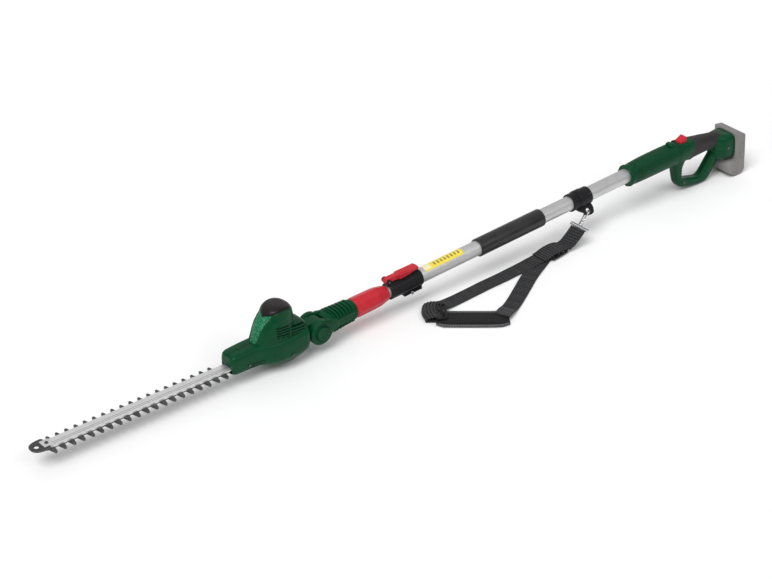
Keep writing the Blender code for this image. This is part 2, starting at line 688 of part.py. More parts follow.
def build_strap_ring():
    bolt_y = 23.5
    bore = rod("ring_bore", OUTER_TUBE_R + GAP, -60, 60, frame=RING, axis="x", steps=32)
    for name, side in (("ring_clamp_upper", 1), ("ring_clamp_lower", -1)):
        body = rod(name, RING_R, -RING_HALF, RING_HALF, "black", RING, axis="x", steps=32)
        flange = box(name + "_flange", (-11, 0, -4), (11, 28, 4), frame=RING)
        join(body, flange)
        if side < 0:
            lug = rounded_outline([(-20, -14), (-12, -24), (-1, -32), (3, -40), (12, -42), (22, -40),
                                   (26, -28), (24, -14)], 4)
            join(body, plate("ring_lug", [lug, circle(EYE, 6.2, 20)], -LUG_HALF, LUG_HALF, plane="xz",
                             frame=RING))
        edge = side * GAP / 2
        low, high = ((-60, -60, -80), (60, 60, edge)) if side > 0 else ((-60, -60, edge), (60, 60, 80))
        cut(body, bore, box(name + "_parting", low, high, frame=RING))
        cut(body, rod(name + "_hole", 2.3, -20, 20, frame=RING, location=(0, bolt_y, 0), steps=16))
    turned("ring_bolt", [(0, 7.3), (3.0, 7.0), (3.8, 5.8), (3.8, 4.3), (2.0, 4.3), (2.0, -3.8), (0, -3.8)],
           "steel", RING, (0, bolt_y, 0), steps=16)


def pole_point(s, y, h):
    """World position in millimetres of a point given in pole coordinates."""
    return Vector((PIVOT_X + s * math.cos(LEAN) - h * math.sin(LEAN), y,
                   PIVOT_HEIGHT + s * math.sin(LEAN) + h * math.cos(LEAN)))


def ring_point(x, y, z):
    """World position of a point given in the strap ring's frame."""
    turn = Matrix.Rotation(RING_ROLL, 3, "X")
    local = turn @ Vector((x, y, z))
    return pole_point(RING_S + local.x, local.y, local.z)


EYE_WORLD = ring_point(EYE[0], 0, EYE[1])
HANG = Vector((-0.814, -0.28, -0.506)).normalized()        # the way the hook hangs from the eye
ACROSS = Matrix.Rotation(-LEAN, 3, "Y") @ (Matrix.Rotation(RING_ROLL, 3, "X") @ Vector((0, 1, 0)))


def hook_frame():
    """Frame at the eye: its Z points up the hook and its X through the eye."""
    up = -HANG
    side = (ACROSS - up * ACROSS.dot(up)).normalized()
    turn = Matrix((side, up.cross(side), up)).transposed()
    return add_frame("hook_frame", EYE_WORLD, turn.to_euler())


HOOK = hook_frame()
STRAP = add_frame("strap_eye", EYE_WORLD)
GATE_PIVOT = (6.9, 0.0, -25.8)         # in the hook frame
LOOP_DROP = 42.2                       # from the eye to the strap's loop


def build_hook():
    """Snap hook with a sprung gate, and the rectangular loop that carries the strap."""
    top = [(x, 0, z) for x, z in arc((0, -7), 7.0, 180, 0, 10)]
    path = [(0, 0, -32), (-1.5, 0, -29.5), (-6, 0, -27), (-7, 0, -24)] + top + [(7, 0, -10.6)]
    hook = wire("snap_hook", path, HOOK_WIRE_R, "chrome", HOOK)
    swivel = turned("hook_swivel", [(0, -30.5), (3.6, -31), (4.2, -33), (4.2, -36.5), (2.5, -37.6), (0, -37.6)],
                    frame=HOOK, steps=16)
    arm = wire("hook_arm", [(0, 0, -31.5), (4, 0, -30.4), (8.4, 0, -28.4)], HOOK_WIRE_R, frame=HOOK)
    join(hook, swivel, arm)
    wire("hook_gate", [(0, 0, 0), (0, 0, -11.4 - GATE_PIVOT[2])], HOOK_WIRE_R - 0.2, "chrome", HOOK,
         GATE_PIVOT)
    sideways = Vector((-0.19, -0.98, 0))
    width_way = (sideways - HANG * sideways.dot(HANG)).normalized()
    centre = HANG * LOOP_DROP
    half_w, half_h = 23.0, 2.4
    corners = rounded_outline([(-half_w, -half_h), (half_w, -half_h), (half_w, half_h),
                               (-half_w, half_h)], 2.0, 2)
    points = [centre + width_way * u - HANG * v for u, v in corners]
    wire("strap_loop", points, 1.3, "chrome", STRAP, closed=True)


def ribbon(name, stations, width, thick, colour):
    """Webbing along floor stations (x from the pivot, y, z of the underside, direction angle in degrees)."""
    loops = []
    for x, y, z, angle in stations:
        side = Vector((-math.sin(math.radians(angle)), math.cos(math.radians(angle)), 0))
        middle = Vector((PIVOT_X + x, y, z)) - EYE_WORLD
        low_a, low_b = middle - side * width / 2, middle + side * width / 2
        rise = Vector((0, 0, thick))
        loops.append([low_a, low_b, low_b + rise, low_a + rise])
    return loft(name, loops, colour, STRAP)


def build_strap():
    ribbon("webbing_drop", [(678, -34, 36, 190), (664, -31, 21, 190), (650, -29, 9.5, 190),
                            (640.5, -28, 4.5, 190)], WEBBING_WIDTH, WEBBING_THICK, "webbing")
    ribbon("webbing_long", [(584, -30, 3, 180), (520, -34, 1, 184), (461, -37, 0.2, 182), (418, -37, 0.2, 182),
                            (344, -42, 0.2, 184), (306, -45, 1.5, 186)], WEBBING_WIDTH - 4, WEBBING_THICK, "webbing")
    ribbon("webbing_return", [(563, -70, 0.2, 209), (541, -80, 0.2, 209), (480, -104, 0.2, 209),
                              (407, -143, 0.2, 208)], WEBBING_WIDTH, WEBBING_THICK, "webbing")
    ribbon("shoulder_pad", [(400, -146.5, 0.0, 190), (372, -150, 0.0, 165), (347, -148, 0.0, 145),
                            (262, -86, 0.0, 140)], PAD_WIDTH - 10, 7.0, "soft_black")
    slider = box("strap_slider", (-25, -25, 0), (25, 25, 6), "black", STRAP)
    slider.location = (Vector((PIVOT_X + 611, -29, 0.2)) - EYE_WORLD) * MM
    buckle = box("strap_buckle", (-4, -24, 0), (4, 24, 9), "black", STRAP)
    buckle.location = (Vector((PIVOT_X + 300, -45.5, 0.2)) - EYE_WORLD) * MM
    soften(slider, 2)
    soften(buckle, 1.5)


# ---------------------------------------------------------------- rear handle

GRIP_SECTIONS = ((1059, 20.0, -28.5, 13.0, 17), (1080, 18.0, -29.0, 10.0, 16),
                 (1100, 16.0, -29.5, 5.5, 14), (1122, 15.0, -30.0, 1.0, 13))
CORE_INSET = 3.3                       # the shells' core lies this deep in the soft grip
CORE_STRETCH = 6.0                     # and runs on this far past both of its ends


def barrel_loft(name, inset, colour=None):
    """Round barrel of the rear handle with its front lip."""
    rows = [(LIP_S, 27, -27.5, 26.5, 26), (LIP_S + 8, 27, -27.5, 26.5, 26), (LIP_S + 11, 22, -24, 21, 20),
            (900, 22.5, -24, 23, 20), (960, 23, -24, 26, 21), (1002, 23, -25, 25, 19),
            (1030, 22, -28, 21, 18), (BARREL_END, 20.5, -29, 14, 17.5)]
    loops = []
    for station, half, low, high, radius in rows:
        loops.append(section(station, half - inset, low + inset, high - inset, radius - inset, 4))
    return loft(name, loops, colour, POLE)


def guard_plate(name):
    """The D-guard with the hand opening, ending in the battery housing."""
    outer = [(962, -14), (966, -50), (980, -73), (1004, -87), (1074, floor_h(1074) + 0.8),
             (1086, -103), (1121, -63), (1127, -55), (1127, -10), (1118, -4), (1111, -14)]
    inner = [(1024, -29.5), (1012, -42), (1010.5, -58), (1048, -70), (1107, -30.5)]
    outline = rounded_outline(outer, 9, 3)
    hole = rounded_outline(inner, 6, 3)
    return soften(plate(name, [outline, hole], -GUARD_HALF, GUARD_HALF, plane="xz", frame=POLE), 4, 2)


def grip_loft(name, inset, colour=None, stretch=0.0):
    """Soft grip's outer form, or a smaller core for inset above zero."""
    loops = []
    for index, (station, half, low, high, radius) in enumerate(GRIP_SECTIONS):
        if index == 0:
            station -= stretch
        if index == len(GRIP_SECTIONS) - 1:
            station += stretch
        loops.append(section(station, half - inset, low + inset, high - inset, radius - inset, 4))
    return loft(name, loops, colour, POLE)


def build_handle_shells():
    start, end = HOUSING
    tube_bore = rod("handle_bore", OUTER_TUBE_R + 0.2, LIP_S - 10, 1002, frame=POLE, axis="x", steps=32)
    switch_room = box("switch_room", (1000, -11.5, -12), (1054, 11.5, 8.5), frame=POLE)
    trigger_room = box("trigger_room", (1021, -7.6, -40), (1056, 7.6, -9.5), frame=POLE)
    lock_room = box("lock_room", (1000, -9.5, 14), (1030, 9.5, 40), frame=POLE)
    housing_room = box("housing_room", (start + 6, -HOUSING_HALF + 3, -60), (end + 5, HOUSING_HALF - 3, -12),
                       frame=POLE)
    grip_clear = grip_loft("grip_clear", -GAP, stretch=GAP)
    grip_core = grip_loft("grip_core_shape", CORE_INSET, stretch=CORE_STRETCH)
    cut(grip_clear, grip_core)

    def solid(name, colour):
        body = barrel_loft(name, 0, colour)
        core = grip_loft(name + "_core", CORE_INSET, stretch=CORE_STRETCH)
        outline = rounded_outline([(start, 2), (start + 30, -3), (end, -9), (end, -62), (end - 28, -68),
                                   (start, -60)], 4, 2)
        housing = soften(plate(name + "_housing", [outline], -HOUSING_HALF, HOUSING_HALF, plane="xz",
                               frame=POLE), 5, 2)
        return join(body, guard_plate(name + "_guard"), housing, core)

    halves(("handle_shell_near", "handle_shell_far"), solid, "green",
           [grip_clear, tube_bore, switch_room, trigger_room, lock_room, housing_room], POLE, (800, 1200))


def build_grip():
    grip = grip_loft("soft_grip", 0, "soft_black")
    cut(grip, grip_loft("grip_inside", CORE_INSET - GAP, stretch=CORE_STRETCH))


def build_switches():
    box("switch_module", (1002, -10.5, -8.5), (1046, 10.5, 7.5), "black", POLE)
    place = (TRIGGER_PIVOT[0], 0, TRIGGER_PIVOT[1])
    profile = rounded_outline([(-3.5, 3.5), (20, 2), (27, -3), (27, -17), (14, -19), (2, -16),
                               (-3.5, -6)], 2, 2)
    plate("trigger", [profile, circle((0, 0), 1.8, 14)], -7, 7, plane="xz", colour="black", frame=POLE,
          location=place)
    rod("trigger_pin", 1.5, -7, 7, "steel", POLE, place, "y", 14)
    wedge = [(1006, 15.2), (1026, 15.2), (1026, 30.5), (1023, 31), (1006, 23.5)]
    soften(plate("lock_out_switch", [wedge], -8.8, 8.8, plane="xz", colour="red", frame=POLE), 1, 2)
    box("control_board", (1128, -22, -56), (1131, 22, -16), "board", POLE)
    box("terminal_block", (1140, -16, -50), (1158, 16, -20), "black", POLE)


def build_handle_screws():
    for index, (x, z, y) in enumerate(((1013, -77, -GUARD_HALF), (1138, -34, -HOUSING_HALF)), 1):
        turned(f"handle_screw_{index}", [(0, 0.9), (2.2, 0.9), (2.9, 0.2), (2.9, -0.8), (0, -0.8)],
               "steel", POLE, (x, y - 1.1, z), axis="y", steps=16)


def build_battery():
    front, rear, split = HOUSING[1] + GAP, 1186.0, 1163.5
    foot_a, foot_b = 1158.0, 1176.0
    outer = [(front, -6), (rear - 3, -11), (rear, -16), (rear, -101), (foot_b, floor_h(foot_b)),
             (foot_a, floor_h(foot_a)), (1138, -97), (1136, -80), (1142, -70.5), (front, -70.5)]

    def solid(name, colour):
        return soften(plate(name, [rounded_outline(outer, 2.0, 2)], -BATTERY_HALF, BATTERY_HALF,
                            plane="xz", colour=colour, frame=POLE), 3.5, 2)

    room = box("cell_room", (split - 1.2, -33.0, -105), (rear - 2, 33.0, -15), frame=POLE)
    rear_cover = solid("battery_cover", "grey")
    case = solid("battery_case", "grey")
    front_part = box("front_part", (1100, -60, -150), (split + GAP / 2, 60, 20), frame=POLE)
    rear_part = box("rear_part", (split - GAP / 2, -60, -150), (1220, 60, 20), frame=POLE)
    half_w, half_h = 12.0, 5.0
    latch_h = -88
    slot = box("latch_slot", (rear - 5, -half_w - GAP, latch_h - half_h - GAP),
               (rear + 20, half_w + GAP, latch_h + half_h + GAP), frame=POLE)
    cut(rear_cover, room, front_part, slot)
    cut(case, rear_part)
    latch = [(-half_w, -half_h), (half_w, -half_h), (half_w, half_h), (-half_w, half_h)]
    plate("battery_latch", [rounded_outline(latch, 2, 2)], rear - 2.2, rear + 2.0, plane="yz",
          colour="red", frame=POLE, location=(0, 0, latch_h))


def build_cells():
    """Five cells across the battery, one above the other, joined by their wrap."""
    radius, pitch, station, top_h = 9.0, 17.4, 1172.8, -25.0
    names = ["battery_cells"] + [f"cell_{index}" for index in range(2, 6)]
    join(*[rod(name, radius, -32.4, 32.4, "cell", POLE, (station, 0, top_h - index * pitch), "y", 18)
           for index, name in enumerate(names)])


build_head_shells()
build_motor()
build_drive()
build_gearbox_plate()
build_blades()
build_guide_bar()
build_knuckle()
build_head_screws()
build_neck()
build_collar()
build_tubes()
build_clamp()
build_clamp_lever()
build_strap_ring()
build_hook()
build_strap()
build_handle_shells()
build_grip()
build_switches()
build_handle_screws()
build_battery()
build_cells()
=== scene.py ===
"""Looks of the pole hedge trimmer: fine surfaces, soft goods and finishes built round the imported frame.

Shapes are drawn in millimetres in a few frames of their own (head, pole, strap ring, hook), which are
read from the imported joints, and placed in the frame's metres.  A surface is a grid of points that is
worked out as whole numpy arrays.
"""

from __future__ import annotations

import json
import logging
from dataclasses import dataclass
from enum import Enum
from math import pi, radians

import bmesh
import bpy
import numpy as np
from mathutils import Matrix, Vector

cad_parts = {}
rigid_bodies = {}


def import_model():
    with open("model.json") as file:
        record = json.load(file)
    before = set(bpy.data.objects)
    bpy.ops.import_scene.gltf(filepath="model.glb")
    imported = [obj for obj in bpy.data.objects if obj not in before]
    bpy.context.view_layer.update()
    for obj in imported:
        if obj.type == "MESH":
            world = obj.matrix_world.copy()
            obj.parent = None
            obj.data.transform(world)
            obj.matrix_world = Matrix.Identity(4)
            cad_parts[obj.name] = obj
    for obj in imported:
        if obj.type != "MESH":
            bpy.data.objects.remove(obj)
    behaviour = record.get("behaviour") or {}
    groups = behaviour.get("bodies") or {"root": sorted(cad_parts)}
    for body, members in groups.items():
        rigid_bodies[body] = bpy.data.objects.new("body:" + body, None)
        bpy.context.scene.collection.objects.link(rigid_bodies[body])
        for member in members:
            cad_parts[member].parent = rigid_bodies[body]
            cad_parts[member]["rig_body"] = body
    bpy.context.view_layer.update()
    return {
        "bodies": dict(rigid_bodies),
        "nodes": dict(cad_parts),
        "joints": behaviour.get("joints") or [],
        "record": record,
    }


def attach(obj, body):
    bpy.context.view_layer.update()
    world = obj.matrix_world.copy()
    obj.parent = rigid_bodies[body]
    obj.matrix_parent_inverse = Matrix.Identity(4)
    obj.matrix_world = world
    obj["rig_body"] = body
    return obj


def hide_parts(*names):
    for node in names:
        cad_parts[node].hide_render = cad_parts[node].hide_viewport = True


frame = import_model()

LOG = logging.getLogger("pole_hedge_trimmer")
MM = 0.001
CREASE_DEG = 40.0  # edges of a drawn surface sharper than this stay sharp
EDGE_DEG = 32.0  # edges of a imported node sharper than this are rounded
SAME_POINT_M = 2e-6  # points of a drawn surface nearer than this become one
SAME_CORNER_M = 5e-6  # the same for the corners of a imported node
FLAT_DEG = 1.0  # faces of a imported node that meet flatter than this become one
TOWER_POWER = 0.87  # 2 / 2.3, the power of the motor tower's superellipse
BLUNT_SHARE = 0.55  # radius of a blunted bar's last circle, as a share of the bar's
MIX_FACTOR, MIX_FROM, MIX_TO, MIX_RESULT = 0, 6, 7, 2  # colour sockets of Blender's Mix node
JOINTS = {joint["name"]: joint for joint in frame["joints"]}


# ---------------------------------------------------------------- frames


@dataclass(frozen=True)
class Axes:
    """A right-handed frame that shapes are drawn in, in millimetres."""

    origin: np.ndarray
    along: np.ndarray
    across: np.ndarray
    up: np.ndarray

    def place(self, points: np.ndarray) -> np.ndarray:
        """Points (along, across, up) in millimetres as world points in metres."""
        shift = points[..., :1] * self.along + points[..., 1:2] * self.across + points[..., 2:3] * self.up
        return self.origin + shift * MM

    def moved(self, along: float, across: float, up: float) -> Axes:
        """The same frame from another origin, given in this frame's millimetres."""
        return Axes(self.place(np.array([along, across, up], float)), self.along, self.across, self.up)

    def rolled(self, angle: float) -> Axes:
        """The same frame turned about its first axis by an angle in radians.

        Args:
            angle: Turn from the across axis towards up.

        Returns:
            The turned frame.
        """
        across = self.across * np.cos(angle) + self.up * np.sin(angle)
        up = self.up * np.cos(angle) - self.across * np.sin(angle)
        return Axes(self.origin, self.along, across, up)


def axes_from(origin: np.ndarray, along: np.ndarray, across: np.ndarray) -> Axes:
    """A frame from an origin, a first axis and a rough second axis.

    Args:
        origin: World point in metres.
        along: Direction of the first axis.
        across: Direction that the second axis is made square from.

    Returns:
        The frame with unit axes.
    """
    first = along / np.linalg.norm(along)
    second = across - first * (across @ first)
    second = second / np.linalg.norm(second)
    return Axes(origin, first, second, np.cross(first, second))


PIVOT = np.array(JOINTS["head_tilt"]["pos_m"], float)
Y_AXIS = np.array([0.0, 1.0, 0.0])
HEAD = axes_from(PIVOT, np.array([1.0, 0.0, 0.0]), Y_AXIS)
POLE = axes_from(PIVOT, -np.array(JOINTS["telescope"]["axis"], float), Y_AXIS)
FLOOR = axes_from(PIVOT * [1, 1, 0], np.array([1.0, 0.0, 0.0]), Y_AXIS)
RING_STATION = 708.0
RING = POLE.moved(RING_STATION, 0, 0).rolled(radians(-39))
EYE = np.array(JOINTS["strap_swing"]["pos_m"], float)


def station_of(node: str) -> tuple[float, float]:
    """First and last station of a node along the pole, in millimetres, from its mesh.

    Args:
        node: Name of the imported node.

    Returns:
        The two stations.
    """
    mesh = frame["nodes"][node].data
    points = np.empty(len(mesh.vertices) * 3, np.float32)
    mesh.vertices.foreach_get("co", points)
    stations = (points.reshape(-1, 3) - PIVOT) @ POLE.along / MM
    return float(stations.min()), float(stations.max())


# ---------------------------------------------------------------- surfaces


class End(Enum):
    """How the first and last row of a grid are closed."""

    FLAT = "flat"
    LOOP = "loop"


def finish_mesh(piece: bpy.types.Object, crease: float = CREASE_DEG) -> bpy.types.Object:
    """Merge a mesh's doubles, turn its faces outwards and shade it smooth up to an angle.

    Args:
        piece: Mesh object to finish.
        crease: Angle in degrees past which an edge stays sharp.

    Returns:
        The same object.
    """
    bm = bmesh.new()
    bm.from_mesh(piece.data)
    bmesh.ops.remove_doubles(bm, verts=bm.verts, dist=SAME_POINT_M)
    bmesh.ops.dissolve_degenerate(bm, edges=bm.edges, dist=1e-7)
    bmesh.ops.recalc_face_normals(bm, faces=bm.faces)
    bm.to_mesh(piece.data)
    bm.free()
    piece.data.shade_smooth()
    piece.data.set_sharp_from_angle(angle=radians(crease))
    return piece


def new_object(name: str, mesh: bpy.types.Mesh) -> bpy.types.Object:
    """Link a mesh to the scene as a named object at the origin.

    Args:
        name: Object name.
        mesh: Its mesh.

    Returns:
        The new object.
    """
    piece = bpy.data.objects.new(name, mesh)
    bpy.context.scene.collection.objects.link(piece)
    return piece


def grid_faces(rows: int, columns: int, end: End, wrap: bool) -> list[list[int]]:
    """Quads between neighbouring rows of a grid, with its end faces.

    Args:
        rows: Number of rows.
        columns: Points in each row.
        end: How the first and last row are closed.
        wrap: True when each row is a closed ring.

    Returns:
        Vertex lists of the faces.
    """
    i = np.arange(rows if end is End.LOOP else rows - 1)[:, None]
    j = np.arange(columns if wrap else columns - 1)[None, :]
    k = (i + 1) % rows
    n = (j + 1) % columns
    quads = np.stack(np.broadcast_arrays(i * columns + j, k * columns + j, k * columns + n,
                                         i * columns + n), -1).reshape(-1, 4).tolist()
    if end is End.FLAT:
        quads.append(list(range(columns)))
        quads.append(list(range((rows - 1) * columns, rows * columns)))
    return quads


def surface(name: str, grid: np.ndarray, axes: Axes, end: End = End.FLAT, wrap: bool = True,
            marks: dict[str, np.ndarray] | None = None, crease: float = 40.0) -> bpy.types.Object:
    """A mesh from a grid of points, with named point attributes for its material.

    Args:
        name: Object name.
        grid: Points, rows x columns x 3, in the frame's millimetres.
        axes: Frame that the points are drawn in.
        end: How the first and last row are closed.
        wrap: True when each row is a closed ring.
        marks: Values for each grid point, rows x columns, or rows x columns x 3 for a vector.
        crease: Angle in degrees past which an edge stays sharp.

    Returns:
        The finished object.
    """
    rows, columns = grid.shape[:2]
    mesh = bpy.data.meshes.new(name)
    mesh.from_pydata(axes.place(grid).reshape(-1, 3), [], grid_faces(rows, columns, end, wrap))
    for key, values in (marks or {}).items():
        kind, field = ("FLOAT_VECTOR", "vector") if values.ndim == 3 else ("FLOAT", "value")
        mesh.attributes.new(key, kind, "POINT").data.foreach_set(field, values.astype(np.float32).ravel())
    return finish_mesh(new_object(name, mesh), crease)


def merged(name: str, pieces: list[bpy.types.Object]) -> bpy.types.Object:
    """Join finished objects into one mesh object with its own name.

    Args:
        name: Name of the joined object.
        pieces: Objects to join; they are removed.

    Returns:
        The joined object.
    """
    bm = bmesh.new()
    for piece in pieces:
        bm.from_mesh(piece.data)
    mesh = bpy.data.meshes.new(name)
    bm.to_mesh(mesh)
    bm.free()
    for piece in pieces:
        bpy.data.objects.remove(piece, do_unlink=True)
    mesh.shade_smooth()
    mesh.set_sharp_from_angle(angle=radians(CREASE_DEG))
    return new_object(name, mesh)


def step(values: np.ndarray, low: float, high: float) -> np.ndarray:
    """Rises smoothly from 0 at low to 1 at high, as 3t^2 - 2t^3."""
    t = np.clip((values - low) / (high - low), 0, 1)
    return t * t * (3 - 2 * t)


def band(values: np.ndarray, low: float, high: float, edge: float) -> np.ndarray:
    """One between low and high, fading to zero within the edge outside them."""
    return step(values, low - edge, low) * (1 - step(values, high, high + edge))


def flow(table: list[tuple[float, ...]], at: np.ndarray) -> np.ndarray:
    """Smooth curves through a table's rows: cubic Hermite pieces whose slopes never overshoot.

    Args:
        table: Rows of (position, value, value, ...), with rising positions.
        at: Positions to read.

    Returns:
        One row of values for each position.
    """
    rows = np.array(table, float)
    x, y = rows[:, 0], rows[:, 1:]
    gap = np.diff(x)[:, None]
    rise = np.diff(y, axis=0) / gap
    slope = np.vstack([rise[:1], rise[1:], rise[-1:]])
    product = rise[:-1] * rise[1:]
    total = np.where(product > 0, rise[:-1] + rise[1:], 1.0)
    slope[1:-1] = np.where(product > 0, 2 * product / total, 0.0)
    i = np.clip(np.searchsorted(x, at) - 1, 0, len(x) - 2)
    h = gap[i]
    t = ((at - x[i])[:, None]) / h
    return ((2 * t ** 3 - 3 * t ** 2 + 1) * y[i] + (t ** 3 - 2 * t ** 2 + t) * h * slope[i]
            + (3 * t ** 2 - 2 * t ** 3) * y[i + 1] + (t ** 3 - t ** 2) * h * slope[i + 1])


def squarish(wave: np.ndarray, power: float | np.ndarray) -> np.ndarray:
    """A sine or cosine drawn out towards -1 and 1 by a power under one, which squares an oval's corners."""
    return np.sign(wave) * np.abs(wave) ** power


def full_turn(columns: int) -> np.ndarray:
    """Angles all the way round in radians, evenly spaced and without the last, which would meet the first."""
    return np.linspace(0, 2 * pi, columns, endpoint=False)


def oval(half: np.ndarray, low: np.ndarray, high: np.ndarray, power: np.ndarray,
         columns: int, under: np.ndarray | None = None) -> tuple[np.ndarray, np.ndarray]:
    """Superellipse sections: |y/a|^p + |z/b|^p = 1 between low and high, one row for each station.

    Args:
        half: Half width of each row.
        low: Lowest point of each row.
        high: Highest point of each row.
        power: Squareness of each row, 2 for an ellipse.
        columns: Points in each section.
        under: Squareness of the lower half where it differs.

    Returns:
        The y and z values, rows x columns.
    """
    angle = full_turn(columns)[None, :]
    cos, sin = np.cos(angle), np.sin(angle)
    lower = power if under is None else under
    inverse = 2 / np.where(sin < 0, lower[:, None], power[:, None])
    y = half[:, None] * squarish(cos, inverse)
    z = (low + high)[:, None] / 2 + (high - low)[:, None] / 2 * squarish(sin, inverse)
    return y, z


def swollen(grid: np.ndarray, amount: np.ndarray) -> np.ndarray:
    """Move each point away from the middle of its row by an amount in millimetres.

    Args:
        grid: Grid of points, a row for each section.
        amount: Millimetres for each point; a negative amount sinks it.

    Returns:
        The moved grid.
    """
    middle = grid.mean(axis=1, keepdims=True)
    way = grid - middle
    way[..., 0] = 0
    size = np.linalg.norm(way, axis=-1, keepdims=True)
    return grid + way / np.maximum(size, 1e-6) * amount[..., None]


def rounded(points: list[tuple[float, float]], radius: float, closed: bool = True,
            steps: int = 5) -> np.ndarray:
    """A polygon whose corners are quadratic curves of about the given radius.

    Args:
        points: Corners, in order.
        radius: Rounding in millimetres, kept under half of each side.
        closed: True for a ring; the ends of an open line stay as they are.
        steps: Steps in each corner.

    Returns:
        The outline's points.
    """
    corner = np.array(points, float)
    before = np.roll(corner, 1, axis=0) - corner
    after = np.roll(corner, -1, axis=0) - corner
    length_b = np.linalg.norm(before, axis=1, keepdims=True)
    length_a = np.linalg.norm(after, axis=1, keepdims=True)
    reach = np.minimum(radius, 0.46 * np.minimum(length_b, length_a))
    if not closed:
        reach[[0, -1]] = 0
    start = corner + before / length_b * reach
    stop = corner + after / length_a * reach
    t = np.linspace(0, 1, steps + 1)[None, :, None]
    curve = start[:, None] * (1 - t) ** 2 + corner[:, None] * 2 * t * (1 - t) + stop[:, None] * t ** 2
    curve = curve.reshape(-1, 2)
    keep = np.linalg.norm(curve - np.roll(curve, 1, axis=0), axis=1) > 1e-6
    return curve[keep]


class Turn(Enum):
    """Axis of a turned piece in its frame."""

    ALONG = "along"
    ACROSS = "across"
    UP = "up"


def turned(name: str, profile: list[tuple[float, float]], axes: Axes, turn: Turn, radius: float = 0.6,
           ring: bool = False, columns: int = 72) -> bpy.types.Object:
    """A turned piece: its profile of (radius, height), with rounded corners, swept round an axis.

    Args:
        name: Object name.
        profile: Corners of the profile, from one end to the other.
        axes: Frame with the axis through its origin.
        turn: Which of the frame's axes it turns about.
        radius: Rounding of the profile's corners.
        ring: True when the profile is a closed loop clear of the axis.
        columns: Points round the axis.

    Returns:
        The finished object.
    """
    line = rounded(profile, radius, closed=ring, steps=4)
    angle = full_turn(columns)
    r, h = line[:, :1], np.broadcast_to(line[:, 1:], (len(line), columns))
    x, y = r * np.cos(angle), r * np.sin(angle)
    order = {Turn.ALONG: (h, x, y), Turn.ACROSS: (x, h, y), Turn.UP: (x, y, h)}[turn]
    return surface(name, np.stack(order, -1), axes, End.LOOP if ring else End.FLAT)


def slab(name: str, outline: np.ndarray, low: float, high: float, edge: float, axes: Axes) -> bpy.types.Object:
    """A plate lying along-up with rounded rims: its outline shrinks over each rim as a quarter circle.

    Args:
        name: Object name.
        outline: Points (along, up) of its closed outline.
        low: First face's place across.
        high: Second face's place across.
        edge: Radius of the rims.
        axes: Frame that it is drawn in.

    Returns:
        The finished object.
    """
    ahead = np.roll(outline, -1, axis=0) - np.roll(outline, 1, axis=0)
    normal = np.stack([ahead[:, 1], -ahead[:, 0]], -1)
    normal /= np.linalg.norm(normal, axis=1, keepdims=True)
    area = np.sum(outline[:, 0] * np.roll(outline[:, 1], -1) - np.roll(outline[:, 0], -1) * outline[:, 1])
    inward = -normal * np.sign(area)
    quarter = np.linspace(0, pi / 2, 6)
    shrink = edge * (1 - np.sin(quarter))
    rise = edge * (1 - np.cos(quarter))
    inset = np.concatenate([shrink, shrink[::-1]])
    across = np.concatenate([low + rise, high - rise[::-1]])
    flat = outline[None] + inward[None] * inset[:, None, None]
    grid = np.stack([flat[..., 0], np.broadcast_to(across[:, None], flat.shape[:2]), flat[..., 1]], -1)
    return surface(name, grid, axes)


def swept(name: str, path: np.ndarray, radius: float, axes: Axes, square: np.ndarray, closed: bool = False,
          columns: int = 14, blunted: bool = False) -> bpy.types.Object:
    """A round bar along a path in one plane: circles square to the path.

    Args:
        name: Object name.
        path: Points of the path, in the frame's millimetres.
        radius: Radius of the bar.
        axes: Frame that it is drawn in.
        square: Direction square to the path's plane.
        closed: True when the path is a ring.
        columns: Points round the bar.
        blunted: True to narrow both end circles.

    Returns:
        The finished object.
    """
    tangent = np.roll(path, -1, axis=0) - np.roll(path, 1, axis=0)
    if not closed:
        tangent[0], tangent[-1] = path[1] - path[0], path[-1] - path[-2]
    tangent /= np.linalg.norm(tangent, axis=1, keepdims=True)
    side = np.cross(tangent, square)
    side /= np.linalg.norm(side, axis=1, keepdims=True)
    third = np.cross(side, tangent)
    size = np.full(len(path), radius)
    if blunted:
        size[[0, -1]] *= BLUNT_SHARE
    angle = full_turn(columns)
    grid = path[:, None] + size[:, None, None] * (side[:, None] * np.cos(angle)[None, :, None]
                                                  + third[:, None] * np.sin(angle)[None, :, None])
    return surface(name, grid, axes, End.LOOP if closed else End.FLAT)


def curve_through(points: list[tuple[float, ...]], spacing: float) -> np.ndarray:
    """A smooth line through points, read at an even spacing in millimetres.

    Args:
        points: Corners of the line, in order.
        spacing: Distance between the points that are read.

    Returns:
        The line's points.
    """
    corner = np.array(points, float)
    reach = np.concatenate([[0], np.cumsum(np.linalg.norm(np.diff(corner, axis=0), axis=1))])
    count = max(int(reach[-1] / spacing), 2) + 1
    table = [(float(r), *map(float, p)) for r, p in zip(reach, corner)]
    return flow(table, np.linspace(0, reach[-1], count))


